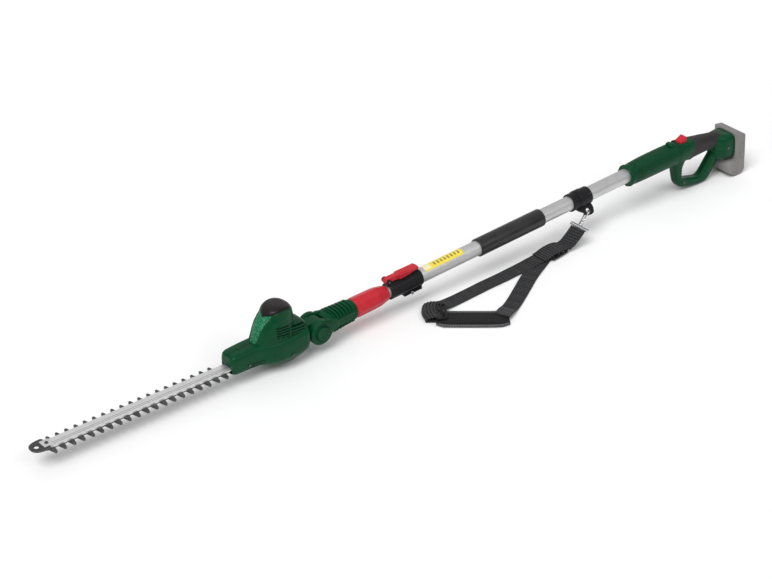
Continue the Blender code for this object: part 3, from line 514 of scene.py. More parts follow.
def fine_copy(node: str, name: str, bevel: float = 0.4, segments: int = 2) -> bpy.types.Object:
    """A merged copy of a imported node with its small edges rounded, standing for that node.

    Args:
        node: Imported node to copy.
        name: Name of the new piece.
        bevel: Width of the rounding in millimetres.
        segments: Steps in the rounding.

    Returns:
        The new piece, riding on the node's body.
    """
    source = frame["nodes"][node]
    mesh = source.data.copy()
    mesh.materials.clear()
    piece = new_object(name, mesh)
    bm = bmesh.new()
    bm.from_mesh(mesh)
    bmesh.ops.remove_doubles(bm, verts=bm.verts, dist=SAME_CORNER_M)
    bmesh.ops.dissolve_limit(bm, angle_limit=radians(FLAT_DEG), verts=bm.verts, edges=bm.edges)
    bm.to_mesh(mesh)
    bm.free()
    mesh.shade_smooth()
    mesh.set_sharp_from_angle(angle=radians(EDGE_DEG))
    rounding = piece.modifiers.new("edges", "BEVEL")
    rounding.width = bevel * MM
    rounding.segments = segments
    rounding.limit_method = "ANGLE"
    rounding.angle_limit = radians(EDGE_DEG)
    rounding.harden_normals = True
    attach(piece, source["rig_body"])
    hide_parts(node)
    return piece


# ---------------------------------------------------------------- finishes


def linear(code: str) -> tuple[float, float, float, float]:
    """An sRGB hex colour as linear RGBA: a straight part below 0.04045 and a 2.4 power above it.

    Args:
        code: Colour in hex, with its leading hash sign.

    Returns:
        Red, green, blue and an alpha of one.
    """
    parts = [int(code[i:i + 2], 16) / 255 for i in (1, 3, 5)]
    red, green, blue = (c / 12.92 if c <= 0.04045 else ((c + 0.055) / 1.055) ** 2.4 for c in parts)
    return red, green, blue, 1.0


class Recipe:
    """A material's node tree, with its shader and the object coordinates at hand."""

    def __init__(self, name: str) -> None:
        """Make an empty material with a Principled shader under the given name.

        Args:
            name: Name of the material.
        """
        self.material = bpy.data.materials.new(name)
        self.material.use_nodes = True
        self.tree = self.material.node_tree
        self.shader = self.tree.nodes["Principled BSDF"]
        self.place = self.add("ShaderNodeTexCoord").outputs["Object"]

    def add(self, kind: str, settings: dict | None = None, links: dict | None = None,
            stops: list[tuple[float, str]] | None = None) -> bpy.types.Node:
        """Add a node with its settings and links.

        Args:
            kind: Blender's node type.
            settings: Socket defaults by name or number, or the node's own properties.
            links: Output sockets to join to this node's inputs.
            stops: Places and hex colours of a colour ramp.

        Returns:
            The node.
        """
        node = self.tree.nodes.new(kind)
        for key, value in (settings or {}).items():
            if isinstance(key, int) or key in node.inputs:
                node.inputs[key].default_value = value
            else:
                setattr(node, key, value)
        for key, socket in (links or {}).items():
            self.tree.links.new(socket, node.inputs[key])
        for index, (position, code) in enumerate(stops or []):
            element = node.color_ramp.elements[index] if index < 2 else node.color_ramp.elements.new(position)
            element.position = position
            element.color = linear(code)
        return node

    def feed(self, sockets: dict[str, bpy.types.NodeSocket]) -> None:
        """Join output sockets to the shader's inputs by name."""
        for key, socket in sockets.items():
            self.tree.links.new(socket, self.shader.inputs[key])

    def fix(self, values: dict[str, float | tuple]) -> None:
        """Set values that are the same all over on the shader's own sockets."""
        for key, value in values.items():
            self.shader.inputs[key].default_value = value

    def grain(self, size_mm: float, detail: float = 2.0, stretch: tuple[float, float, float] = (1, 1, 1),
              turn: tuple[float, float, float] = (0, 0, 0)) -> bpy.types.NodeSocket:
        """Noise whose features are about size_mm across, stretched and turned as given.

        Args:
            size_mm: Size of the features.
            detail: Octaves of finer noise.
            stretch: Scale along each axis; a small one draws the grain out.
            turn: Rotation about each axis, in radians.

        Returns:
            The noise's factor.
        """
        mapping = self.add("ShaderNodeMapping", {"Rotation": turn, "Scale": stretch}, {"Vector": self.place})
        noise = self.add("ShaderNodeTexNoise", {"Scale": 1000 / size_mm, "Detail": detail},
                         {"Vector": mapping.outputs["Vector"]})
        return noise.outputs["Fac"]

    def spread(self, factor: bpy.types.NodeSocket, low: float, high: float, start: float = 0.3,
               stop: float = 0.7) -> bpy.types.NodeSocket:
        """A factor between start and stop spread over low to high.

        Args:
            factor: Socket to spread.
            low: Result at start.
            high: Result at stop.
            start: Factor that gives low.
            stop: Factor that gives high.

        Returns:
            The spread factor.
        """
        node = self.add("ShaderNodeMapRange", {"From Min": start, "From Max": stop, "To Min": low,
                                               "To Max": high}, {"Value": factor})
        return node.outputs["Result"]

    def bump(self, height: bpy.types.NodeSocket, depth_mm: float, strength: float = 1.0,
             under: bpy.types.NodeSocket | None = None) -> bpy.types.NodeSocket:
        """A bump of a height map whose full depth is depth_mm, over another normal if given.

        Args:
            height: Height map.
            depth_mm: Full depth of the map.
            strength: How much of the bump is used.
            under: Normal that the bump is laid over, if any.

        Returns:
            The bumped normal.
        """
        links = {"Height": height}
        if under is not None:
            links["Normal"] = under
        node = self.add("ShaderNodeBump", {"Distance": depth_mm * MM, "Strength": strength}, links)
        return node.outputs["Normal"]

    def math(self, operation: str, first: bpy.types.NodeSocket | float,
             second: bpy.types.NodeSocket | float = 0.0) -> bpy.types.NodeSocket:
        """One arithmetic step on sockets or numbers.

        Args:
            operation: Blender's name of the operation.
            first: First operand.
            second: Second operand.

        Returns:
            The result.
        """
        settings: dict = {"operation": operation}
        links: dict = {}
        for index, value in enumerate((first, second)):
            if isinstance(value, bpy.types.NodeSocket):
                links[index] = value
            else:
                settings[index] = value
        return self.add("ShaderNodeMath", settings, links).outputs[0]

    def shade(self, colour: bpy.types.NodeSocket, factor: bpy.types.NodeSocket,
              code: str) -> bpy.types.NodeSocket:
        """A colour turned to another by a factor.

        Args:
            colour: Colour to start from.
            factor: Share of the other colour.
            code: The other colour in hex.

        Returns:
            The mixed colour.
        """
        node = self.add("ShaderNodeMix", {"data_type": "RGBA"})
        self.tree.links.new(factor, node.inputs[MIX_FACTOR])
        self.tree.links.new(colour, node.inputs[MIX_FROM])
        node.inputs[MIX_TO].default_value = linear(code)
        return node.outputs[MIX_RESULT]


@dataclass(frozen=True)
class Moulded:
    """Injection-moulded plastic: a satin skin with spark-eroded grain that breaks up its highlights.

    The colour drifts a little over 40 mm where the melt flowed, and marked hollows, grooves and seams
    are turned to a darker colour, a painted shade.  IOR 1.5 is that of ABS and nylon.
    """

    name: str
    colour: str
    drift: str
    hollow_shade: str
    roughness: float
    grain_mm: float = 1.1
    grain_depth_mm: float = 0.03
    flow_mm: float = 40.0

    def material(self) -> bpy.types.Material:
        """The finish as a Blender material.

        Returns:
            The new material.
        """
        recipe = Recipe(self.name)
        drift = recipe.grain(self.flow_mm, 3.0)
        ramp = recipe.add("ShaderNodeValToRGB", links={"Fac": drift}, stops=[(0.35, self.colour),
                                                                           (0.7, self.drift)])
        # Painted shade: where the mesh marks a groove, slot, seam or gap between ribs, the colour turns darker.
        recess_shade = recipe.add("ShaderNodeAttribute", {"attribute_name": "recess_shade"}).outputs["Fac"]
        colour = recipe.shade(ramp.outputs["Color"], recess_shade, self.hollow_shade)
        # Grain of about a millimetre is coarser than the real 0.1 mm, so that it shows.
        grain = recipe.grain(self.grain_mm, 1.5)
        rough = recipe.spread(grain, self.roughness - 0.06, self.roughness + 0.08)
        recipe.feed({"Base Color": colour, "Roughness": rough,
                     "Normal": recipe.bump(grain, self.grain_depth_mm, 0.6)})
        # Spark-eroded skins scatter part of their reflection, so the specular share is well under a polished 0.5.
        recipe.fix({"IOR": 1.5, "Specular IOR Level": 0.14})
        return recipe.material


@dataclass(frozen=True)
class Drawn:
    """Drawn or ground metal: fine lines along the work break the highlight into streaks."""

    name: str
    colour: str
    shadow: str
    roughness: float
    line_mm: float = 0.7
    stretch: float = 0.02
    depth_mm: float = 0.01
    lean: float = 0.0

    def material(self) -> bpy.types.Material:
        """The finish as a Blender material; the lines run along the object's X, leaned in its XZ plane.

        Returns:
            The new material.
        """
        recipe = Recipe(self.name)
        lines = recipe.grain(self.line_mm, 2.0, (self.stretch, 1, 1), (0, self.lean, 0))
        cloud = recipe.grain(25.0, 2.0)
        both = recipe.math("MULTIPLY", lines, recipe.spread(cloud, 0.8, 1.1))
        ramp = recipe.add("ShaderNodeValToRGB", links={"Fac": both}, stops=[(0.2, self.shadow),
                                                                          (0.6, self.colour)])
        recipe.feed({"Base Color": ramp.outputs["Color"],
                     "Roughness": recipe.spread(both, self.roughness + 0.1, self.roughness - 0.05, 0.2, 0.7),
                     "Normal": recipe.bump(lines, self.depth_mm, 0.5)})
        recipe.fix({"Metallic": 1.0})
        return recipe.material


@dataclass(frozen=True)
class Plated:
    """Bright nickel plate: a mirror skin, faintly uneven from polishing, dulled by handling."""

    name: str
    colour: str
    roughness: float

    def material(self) -> bpy.types.Material:
        """The finish as a Blender material.

        Returns:
            The new material.
        """
        recipe = Recipe(self.name)
        cloud = recipe.grain(4.0, 2.0)
        ramp = recipe.add("ShaderNodeValToRGB", links={"Fac": cloud}, stops=[(0.3, "#a8a8aa"),
                                                                           (0.6, self.colour)])
        recipe.feed({"Base Color": ramp.outputs["Color"],
                     "Roughness": recipe.spread(cloud, self.roughness, self.roughness + 0.14),
                     "Normal": recipe.bump(cloud, 0.02, 0.5)})
        recipe.fix({"Metallic": 1.0})
        return recipe.material


@dataclass(frozen=True)
class Foam:
    """Closed-cell foam or soft rubber: a dull skin pitted with small cells, IOR 1.45."""

    name: str
    colour: str
    light: str
    cell_mm: float
    depth_mm: float
    roughness: float

    def material(self) -> bpy.types.Material:
        """The finish as a Blender material.

        Returns:
            The new material.
        """
        recipe = Recipe(self.name)
        cells = recipe.add("ShaderNodeTexVoronoi", {"Scale": 1000 / self.cell_mm}, {"Vector": recipe.place})
        soft = recipe.grain(30.0, 2.0)
        ramp = recipe.add("ShaderNodeValToRGB", links={"Fac": soft}, stops=[(0.3, self.colour),
                                                                          (0.75, self.light)])
        # Painted shade: where the mesh marks a gap between ribs, the colour turns to a near black.
        recess_shade = recipe.add("ShaderNodeAttribute", {"attribute_name": "recess_shade"}).outputs["Fac"]
        recipe.feed({"Base Color": recipe.shade(ramp.outputs["Color"], recess_shade, "#0c0c0d"),
                     "Roughness": recipe.spread(soft, self.roughness - 0.06, self.roughness + 0.06),
                     "Normal": recipe.bump(cells.outputs["Distance"], self.depth_mm, 0.7)})
        recipe.fix({"IOR": 1.45})
        return recipe.material


@dataclass(frozen=True)
class Woven:
    """Polyester webbing or cloth: yarns crossing at a set pitch, matt, with a soft sheen at its edges.

    The pattern reads the piece's own "weave" attribute: millimetres across and along the cloth.
    """

    name: str
    colour: str
    light: str
    pitch_mm: float
    rib_mm: float
    depth_mm: float

    def material(self) -> bpy.types.Material:
        """The finish as a Blender material: diagonal yarns in rows, crossed by ribs along the cloth.

        Returns:
            The new material.
        """
        recipe = Recipe(self.name)
        weave = recipe.add("ShaderNodeAttribute", {"attribute_name": "weave"}).outputs["Vector"]
        parts = recipe.add("ShaderNodeSeparateXYZ", links={"Vector": weave})
        across = recipe.math("MULTIPLY", parts.outputs["X"], 2 * pi / self.pitch_mm)
        along = recipe.math("MULTIPLY", parts.outputs["Y"], 2 * pi / self.rib_mm)
        slant = recipe.math("ADD", along, recipe.math("MULTIPLY", recipe.math("SINE", across), 1.2))
        yarn = recipe.math("MULTIPLY", recipe.math("SINE", slant), 0.5)
        cross = recipe.math("MULTIPLY", recipe.math("COSINE", across), 0.25)
        height = recipe.math("ADD", recipe.math("ADD", yarn, cross), 0.6)
        fuzz = recipe.grain(2.2, 3.0)
        # Painted highlight and painted shade: raised yarns are painted lighter and low ones darker, broken up by
        # random fuzz.
        tone = recipe.math("MULTIPLY", height, recipe.spread(fuzz, 0.4, 1.4))
        ramp = recipe.add("ShaderNodeValToRGB", links={"Fac": tone}, stops=[(0.25, self.colour),
                                                                          (0.95, self.light)])
        recipe.feed({"Base Color": ramp.outputs["Color"],
                     "Normal": recipe.bump(height, self.depth_mm, 1.0)})
        recipe.fix({"Roughness": 0.85, "Sheen Weight": 0.08, "Sheen Roughness": 0.4, "IOR": 1.5,
                    "Specular IOR Level": 0.25})
        return recipe.material


@dataclass(frozen=True)
class PrintedFilm:
    """Glossy printed film: a yellow ground with a pale field in front and plain dark bars.

    It reads the "print" attribute: millimetres along and round the label.
    """

    name: str
    colour: str
    length_mm: float

    def material(self) -> bpy.types.Material:
        """The finish as a Blender material.

        Returns:
            The new material.
        """
        recipe = Recipe(self.name)
        place = recipe.add("ShaderNodeAttribute", {"attribute_name": "print"}).outputs["Vector"]
        parts = recipe.add("ShaderNodeSeparateXYZ", links={"Vector": place})
        along, around = parts.outputs["X"], parts.outputs["Y"]
        mottle = recipe.grain(3.5, 1.0)
        ramp = recipe.add("ShaderNodeValToRGB", links={"Fac": mottle}, stops=[(0.3, self.colour),
                                                                            (0.7, "#f0dc5a")])
        # Plain bars every 9 mm, 4 mm wide, in the middle 9 mm of the band.
        wave = recipe.math("SINE", recipe.math("MULTIPLY", along, 2 * pi / 9.0))
        bars = recipe.math("GREATER_THAN", wave, 0.1)
        inside = recipe.math("LESS_THAN", recipe.math("ABSOLUTE", around), 4.5)
        behind = recipe.math("GREATER_THAN", along, 22.0)
        before = recipe.math("LESS_THAN", along, self.length_mm - 6.0)
        ink = recipe.math("MULTIPLY", recipe.math("MULTIPLY", bars, inside),
                          recipe.math("MULTIPLY", behind, before))
        faint = recipe.math("MULTIPLY", ink, 0.75)
        field = recipe.math("MULTIPLY", recipe.math("LESS_THAN", along, 17.0),
                            recipe.math("LESS_THAN", recipe.math("ABSOLUTE", around), 6.5))
        colour = recipe.shade(ramp.outputs["Color"], recipe.math("MULTIPLY", field, 0.6), "#eef0e6")
        recipe.feed({"Base Color": recipe.shade(colour, faint, "#4a4424")})
        recipe.fix({"Roughness": 0.32, "IOR": 1.49, "Coat Weight": 0.3, "Coat Roughness": 0.2})
        return recipe.material


class Skin(Enum):
    """The object's finishes, each with the record's slot that it belongs to."""

    # The third colour of each moulding is the painted shade laid into its marked hollows.
    GREEN = ("green_plastic", Moulded("green_abs_moulding", "#003d22", "#024527", "#00120a", 0.32, 1.2, 0.03))
    # Its light second colour speckles the front panel with a painted highlight over a real grained bump.
    DOME = ("green_plastic", Moulded("green_abs_grained_painted_glint", "#0a5434", "#3f8a66", "#00140b", 0.42, 2.2, 0.16, 3.4))
    BLACK = ("black_plastic", Moulded("black_nylon_moulding", "#19191b", "#222224", "#060606", 0.34))
    CAP = ("black_plastic", Moulded("black_nylon_cap", "#1d191a", "#2c2728", "#060606", 0.28, 1.6, 0.05))
    RED = ("red_plastic", Moulded("red_nylon_moulding", "#b8242f", "#c0323c", "#40080e", 0.34))
    GREY = ("battery_grey", Moulded("grey_abs_battery", "#807c7c", "#8a8686", "#3c3a3a", 0.5))
    GRIP = ("soft_rubber", Foam("black_soft_grip", "#1e191a", "#2a2425", 1.4, 0.08, 0.6))
    FOAM = ("foam", Foam("black_eva_foam", "#1b1b1c", "#252526", 1.3, 0.05, 0.36))
    TUBE = ("aluminium_tube", Drawn("anodised_aluminium_tube", "#d6d6d6", "#c2c2c2", 0.52, 0.8, 0.015, 0.004,
                                    radians(3.11)))
    BAR = ("blade_bar", Drawn("ground_steel_bar", "#f2f2f2", "#dedede", 0.5))
    TEETH = ("blade_steel", Drawn("blackened_blade_steel", "#6a6a6a", "#3a3a3a", 0.42))
    STEEL = ("steel", Drawn("zinc_plated_steel", "#b8b8ba", "#86868a", 0.3, 0.5, 0.3))
    NICKEL = ("chrome", Plated("bright_nickel_plate", "#e2e2e4", 0.1))
    # The light second colour of each woven finish is a painted highlight on its raised yarns.
    WEBBING = ("webbing", Woven("black_polyester_webbing", "#0b0b0c", "#454547", 4.2, 6.4, 0.6))
    PAD = ("pad_fabric", Woven("black_pad_cloth", "#111112", "#242425", 1.6, 1.6, 0.12))
    TAPE = ("pad_fabric", Woven("black_edge_binding", "#161617", "#77777a", 2.4, 3.2, 0.3))
    THREAD = ("pad_fabric", Foam("grey_sewing_thread", "#77777a", "#8e8e90", 0.6, 0.05, 0.8))
    LABEL = ("label", PrintedFilm("printed_yellow_film", "#e6cf34", 102.0))
    CELLS = ("cell_wrap", Moulded("blue_cell_wrap", "#2a5a86", "#336a98", "#10202c", 0.3))
    BOARD = ("circuit_board", Moulded("green_circuit_board", "#0f4a24", "#17602f", "#051a0c", 0.35))

    @property
    def material(self) -> bpy.types.Material:
        """The finish's material, made on first use."""
        made = bpy.data.materials.get(self.value[1].name)
        return made or self.value[1].material()


def dress(piece: bpy.types.Object, skin: Skin, body: str = "", *nodes: str) -> bpy.types.Object:
    """Give a piece its finish and slot, and for a new piece its body and the nodes that it stands for.

    Args:
        piece: The piece.
        skin: Its finish.
        body: Body that a new piece rides on; empty when it rides already.
        nodes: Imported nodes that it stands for.

    Returns:
        The same piece.
    """
    piece.data.materials.clear()
    piece.data.materials.append(skin.material)
    if body:
        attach(piece, body)
    if nodes:
        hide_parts(*nodes)
    LOG.info("%s: %s", piece.name, skin.name.lower())
    return piece


def repaint(skin: Skin, *nodes: str) -> None:
    """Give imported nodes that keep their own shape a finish.

    Args:
        skin: The finish.
        nodes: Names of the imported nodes.

    Raises:
        FrameError: When a node has no material slot.
    """
    for node in nodes:
        for slot in frame["nodes"][node].material_slots:
            slot.material = skin.material
        if not frame["nodes"][node].material_slots:
            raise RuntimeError(f"{node} has no material slot to fill")


# ---------------------------------------------------------------- cutting head


@dataclass
class CuttingHead:
    """Gearbox housing, motor tower, cap and blades, drawn in millimetres from the tilt pivot."""

    nose: float = -208.0
    tail: float = -31.0
    crown: float = 91.0

    def housing(self) -> bpy.types.Object:
        """The gearbox housing: oval sections along X with a keel below, grooves, a seam and the mouth.

        Returns:
            The housing, which stands for both shells.
        """
        table = [(-208, 17.6, -17.2, 17.4, 3.6, 3.6), (-205, 20.6, -19, 20.6, 4.2, 4.2),
                 (-198, 22.4, -20, 22.4, 4.8, 4.6), (-176, 23.0, -20, 24, 5.0, 4.6),
                 (-150, 24.0, -20.6, 25, 4.8, 4.2), (-140, 25.4, -22.6, 25, 4.6, 3.6),
                 (-126, 30.8, -29, 24.6, 4.6, 2.6), (-112, 34.8, -37, 24.6, 4.8, 2.0),
                 (-98, 36.2, -43, 25, 5.0, 1.8), (-78, 36.4, -45, 25.4, 5.0, 1.75),
                 (-60, 36.0, -42, 26, 5.0, 1.8), (-44, 34.6, -36, 26.6, 4.8, 2.0),
                 (-35, 32.4, -29, 27.4, 4.6, 2.6), (self.tail, 29, -24, 25, 4.2, 2.8)]
        at = np.linspace(self.nose, self.tail, 270)
        half, low, high, power, under = flow(table, at).T
        y, z = oval(half, low, high, power, 288, under)
        x = np.broadcast_to(at[:, None], y.shape)
        flank = (np.abs(y) > 8) * 1.0
        # Two short grooves low on the nose, and a small moulded window on its top.
        grooves = band(x, -168, -138, 1.5) * (band(z, -14.5, -12.6, 0.7) + band(z, -7.8, -6.2, 0.7)) * flank
        window = band(x, -184, -178, 0.8) * band(y, -4.5, 4.5, 0.8) * step(z, 8, 10)
        seam = band(y, -0.35, 0.35, 0.3) * 0.7
        panel = band(x, -122, -46, 2.0) * band(z, -13, 14, 1.2) * flank
        depth = 1.2 * grooves - 0.7 * window + 0.5 * seam + 0.7 * panel
        grid = swollen(np.stack([x, y, z], -1), -depth)
        # The grooves and the seam are painted darker as shade.
        mark = np.clip(0.8 * grooves + 0.8 * seam, 0, 1)
        # The mouth: the front row steps in to a slot and runs back as a channel, painted dark as shade.
        slot_y, slot_z = oval(np.full(1, 15.0), np.full(1, -16.0), np.full(1, -3.4), np.full(1, 6.0), 288)
        mouth = [np.stack([np.full(288, reach), slot_y[0] * size, (slot_z[0] + 9.7) * size - 9.7], -1)
                 for reach, size in ((self.nose + 16, 0.96), (self.nose + 1.0, 0.98), (self.nose + 0.1, 1.06))]
        grid = np.concatenate([np.array(mouth), grid])
        mark = np.concatenate([np.ones((2, 288)), np.full((1, 288), 0.2), mark])
        piece = surface("gearbox_housing", grid, HEAD, marks={"recess_shade": mark})
        return dress(piece, Skin.GREEN, "head", "head_shell_near", "head_shell_far")

    def vent_block(self) -> bpy.types.Object:
        """The narrower block behind the tower: its sides lean in and carry two fields of slanted vent slots.

        Returns:
            The block.
        """
        table = [(-132, 20, 10, 36, 3.0), (-124, 26, 10, 44, 3.2), (-110, 29.4, 10, 49, 3.2),
                 (-92, 30.4, 10, 50, 3.2), (-70, 29.6, 10, 48.5, 3.2), (-52, 28, 10, 45.5, 3.2),
                 (-40, 26, 10, 42, 3.0), (-34.5, 23.6, 12, 38, 2.8), (self.tail - 0.6, 21, 14, 34.5, 2.6)]
        at = np.linspace(-132, self.tail - 0.6, 230)
        y, z = oval(*flow(table, at).T, 300)
        x = np.broadcast_to(at[:, None], y.shape)
        vents, frame = self.slots(x, z, step(np.abs(y), 19, 22))
        grid = swollen(np.stack([x, y, z], -1), 0.8 * frame - 2.3 * vents)
        # The vent slots are painted dark as shade.
        piece = surface("vent_block", grid, HEAD, marks={"recess_shade": np.clip(vents, 0, 1)})
        return dress(piece, Skin.GREEN, "head")

    @staticmethod
    def slots(x: np.ndarray, z: np.ndarray, flank: np.ndarray) -> tuple[np.ndarray, np.ndarray]:
        """Vent slots that fall towards the tail in two fields, and their raised frame.

        The slots are 5.6 mm apart and about 2.5 mm wide.

        Args:
            x: Place along the head.
            z: Height in the head.
            flank: Where the skin faces sideways.

        Returns:
            Depth shares of the slots and of the frame.
        """
        fall = z + 0.13 * (x + 80)
        wave = np.cos((fall - 38.5) / 5.6 * 2 * pi)
        fields = band(x, -110, -81, 0.8) + band(x, -76, -42, 0.8)
        vents = fields * band(fall, 27.5, 52, 0.6) * step(wave, 0.0, 0.4) * flank
        return vents, band(x, -113, -39, 1.2) * band(fall, 26, 53.5, 1.0) * flank

    def outline(self, height: np.ndarray) -> tuple[np.ndarray, np.ndarray, np.ndarray]:
        """Front, back and half width of the motor tower at each height.

        Args:
            height: Heights in head millimetres.

        Returns:
            Front x, back x and half width, of the same shape as the heights.
        """
        table = [(14, -153, -58, 28.4), (23, -149.5, -58, 28.2), (34, -145, -57.5, 28.2), (45, -141, -57, 28.2),
                 (56, -136, -57, 28), (66, -129, -58.5, 27.4), (74, -121.5, -60.5, 26.8),
                 (86, -116, -62.5, 26.2), (96, -112, -64, 25.6)]
        front, back, half = flow(table, height.reshape(-1)).T
        return front.reshape(height.shape), back.reshape(height.shape), half.reshape(height.shape)

    def rim(self, angle: np.ndarray) -> np.ndarray:
        """Height of the tower's rim round the cap: it arches up over each side."""
        return 77.0 + 8.5 * np.sin(angle) ** 2 + 1.5 * np.cos(angle)

    def ring(self, height: np.ndarray, angle: np.ndarray, grow: np.ndarray | float = 0.0) -> np.ndarray:
        """Points of the tower's skin: a superellipse |x/a|^2.3 + |y/b|^2.3 = 1, drawn out by an amount.

        Args:
            height: Height up the tower.
            angle: Angle round it, in radians.
            grow: How far outside the skin.

        Returns:
            The points.
        """
        front, back, half = self.outline(height)
        cos, sin = np.cos(angle), np.sin(angle)
        x = (front + back) / 2 + ((back - front) / 2 + grow) * squarish(cos, TOWER_POWER)
        y = (half + grow) * squarish(sin, TOWER_POWER)
        return np.stack([x, y, height + 0 * x], -1)

    def tower(self) -> None:
        """The motor tower, its raised side cheeks and the grained panel down its front."""
        angle = full_turn(360)[None, :]
        share = np.linspace(0, 1, 120)[:, None]
        height = 14 + share * (self.rim(angle) - 14)
        base = self.ring(height, angle)
        x, y = base[..., 0], base[..., 1]
        ahead = np.cos(angle) < 0
        cheek = 1 - ahead * (1 - step(np.abs(y), 9.5 + 10 * share ** 2, 12 + 10 * share ** 2))
        lip = 1 - step(share, 0.975, 1.0)
        seam = band(y, -0.35, 0.35, 0.3)
        vents, frame = self.slots(x, height, np.abs(y) > 9)
        grid = self.ring(height, angle, 1.5 * cheek - 1.2 * (1 - lip) - 0.4 * seam + 0.7 * frame - 2.2 * vents)
        # The seam and the vent slots are painted darker as shade.
        piece = surface("motor_tower", grid, HEAD, marks={"recess_shade": np.clip(0.6 * seam + vents, 0, 1)})
        dress(piece, Skin.GREEN, "head")
        # The front panel: grained, with light speckles that are a painted highlight.
        lanes = np.linspace(-1, 1, 61)[None, :]
        rows = np.linspace(0.06, 0.985, 120)[:, None]
        reach = np.arcsin(np.clip((9.4 + 10 * rows ** 2) / 28, 0, 0.95) ** 1.15) * lanes
        level = 14 + rows * (self.rim(pi + reach) - 14)
        skin = self.ring(level, pi + reach, 0.35)
        inner = self.ring(level, pi + reach, -1.6)
        grid = np.concatenate([skin, inner[:, ::-1]], axis=1)
        dress(surface("front_panel", grid, HEAD), Skin.DOME, "head")

    def cap(self) -> bpy.types.Object:
        """The black motor cap: a domed lid whose edge follows the tower's arched rim, with a bead and a clip.

        Returns:
            The cap.
        """
        share = np.linspace(0, 1, 70)[:, None]
        angle = full_turn(240)[None, :]
        edge = self.rim(angle) + 0.3
        shrink = np.cos(share * pi / 2) ** 0.66
        rise = np.sin(share * pi / 2) ** 1.15
        level = edge + (self.crown - edge) * rise
        front, back, half = self.outline(edge + 0 * share)
        cos, sin = np.cos(angle), np.sin(angle)
        bead = band(level - edge, 1.6, 2.6, 0.5) * (share < 0.5)
        x = (front + back) / 2 + ((back - front) / 2 - 0.2 - 0.8 * bead) * shrink * squarish(cos, TOWER_POWER)
        y = (half - 0.2 - 0.8 * bead) * shrink * squarish(sin, TOWER_POWER)
        ribs = 0.1 * np.sin((x + 90) * 2 * pi / 5.0) * step(shrink * half, 25, 20) * (half * shrink > 2)
        grid = np.stack([x, y, level + ribs], -1)
        foot = np.stack([x[0] * 0.94 - 90 * 0.06, y[0] * 0.94, level[0]], -1)[None]
        grid = np.concatenate([foot, grid])
        # The bead's groove is painted darker as shade.
        mark = np.vstack([0 * angle, 0.7 * bead])
        piece = surface("motor_cap_skin", grid, HEAD, marks={"recess_shade": mark})
        clip = slab("cap_clip", rounded([(-124.5, 69), (-121.5, 69), (-115, 82), (-118.5, 82)], 0.9), -4, 4, 0.8,
                    HEAD)
        dress(clip, Skin.BLACK, "head")
        return dress(piece, Skin.CAP, "head", "motor_cap")

    def tip(self) -> bpy.types.Object:
        """The tip guard: a plate rounded at the front, with a round hole, that caps the end of the blades.

        Returns:
            The tip guard.
        """
        angle = full_turn(200)
        cos, sin = np.cos(angle), np.sin(angle)
        outer_x = np.where(cos < 0, -616 - 28 * np.abs(cos) ** 0.9, -616 + 8 * np.sqrt(np.clip(cos, 0, 1)))
        outer = np.stack([outer_x, 18.5 * squarish(sin, 0.72)], -1)
        hole = np.stack([-631 + 4.8 * cos, 4.8 * sin], -1)
        rows = []
        for mix, level in ((0.0, -3.4), (0.04, -3.0), (0.5, -3.0), (0.96, -3.0), (1.0, -3.5), (1.0, -5.3),
                           (0.96, -5.8), (0.5, -5.8), (0.04, -5.8), (0.0, -5.4)):
            flat = hole * (1 - mix) + outer * mix
            rows.append(np.stack([flat[:, 0], flat[:, 1], np.full(len(flat), level)], -1))
        piece = surface("tip_guard_plate", np.array(rows), HEAD, End.LOOP)
        return dress(piece, Skin.TEETH, "head", "tip_guard")

    def blades(self) -> None:
        """The blade set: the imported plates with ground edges, and the turned screws."""
        for node, skin in (("guide_bar", Skin.BAR), ("upper_blade", Skin.TEETH), ("lower_blade", Skin.TEETH)):
            dress(fine_copy(node, f"{node}_ground", 0.35), skin)
        raised = np.array([(-606.0, -6.4), (-196.0, -6.4), (-196.0, -5.5), (-606.0, -5.5)])
        dress(slab("guide_bar_rib", raised, -7.5, 7.5, 0.2, HEAD), Skin.BAR, "head")
        end = np.array([(-620.0, -6.2), (-598.0, -6.2), (-598.0, -5.5), (-602.0, -2.4), (-620.0, -2.4)])
        dress(slab("guide_bar_end", end, -10.5, 10.5, 0.3, HEAD), Skin.BAR, "head")
        for index, place in enumerate((-1.4, -6.0)):
            line = raised + np.array([0.0, 0.06])
            dress(slab(f"guide_bar_line_{index}", line, place - 0.45, place + 0.45, 0.1, HEAD), Skin.TEETH, "head")
        for node in ("tip_guard_screw", "blade_screw_1", "blade_screw_2", "head_screw_1", "head_screw_2"):
            dress(fine_copy(node, f"{node}_fine", 0.3), Skin.TEETH)

    def build(self) -> None:
        """Make the head and dress its hidden works."""
        self.housing()
        self.vent_block()
        self.tower()
        self.cap()
        self.tip()
        self.blades()
        dress(fine_copy("head_knuckle", "tilt_tongue", 1.2, 3), Skin.GREEN)
        repaint(Skin.STEEL, "motor_can", "drive_gear", "motor_pinion", "gear_axle", "gear_bearing")
        repaint(Skin.TUBE, "gearbox_plate")


# ---------------------------------------------------------------- neck and telescope


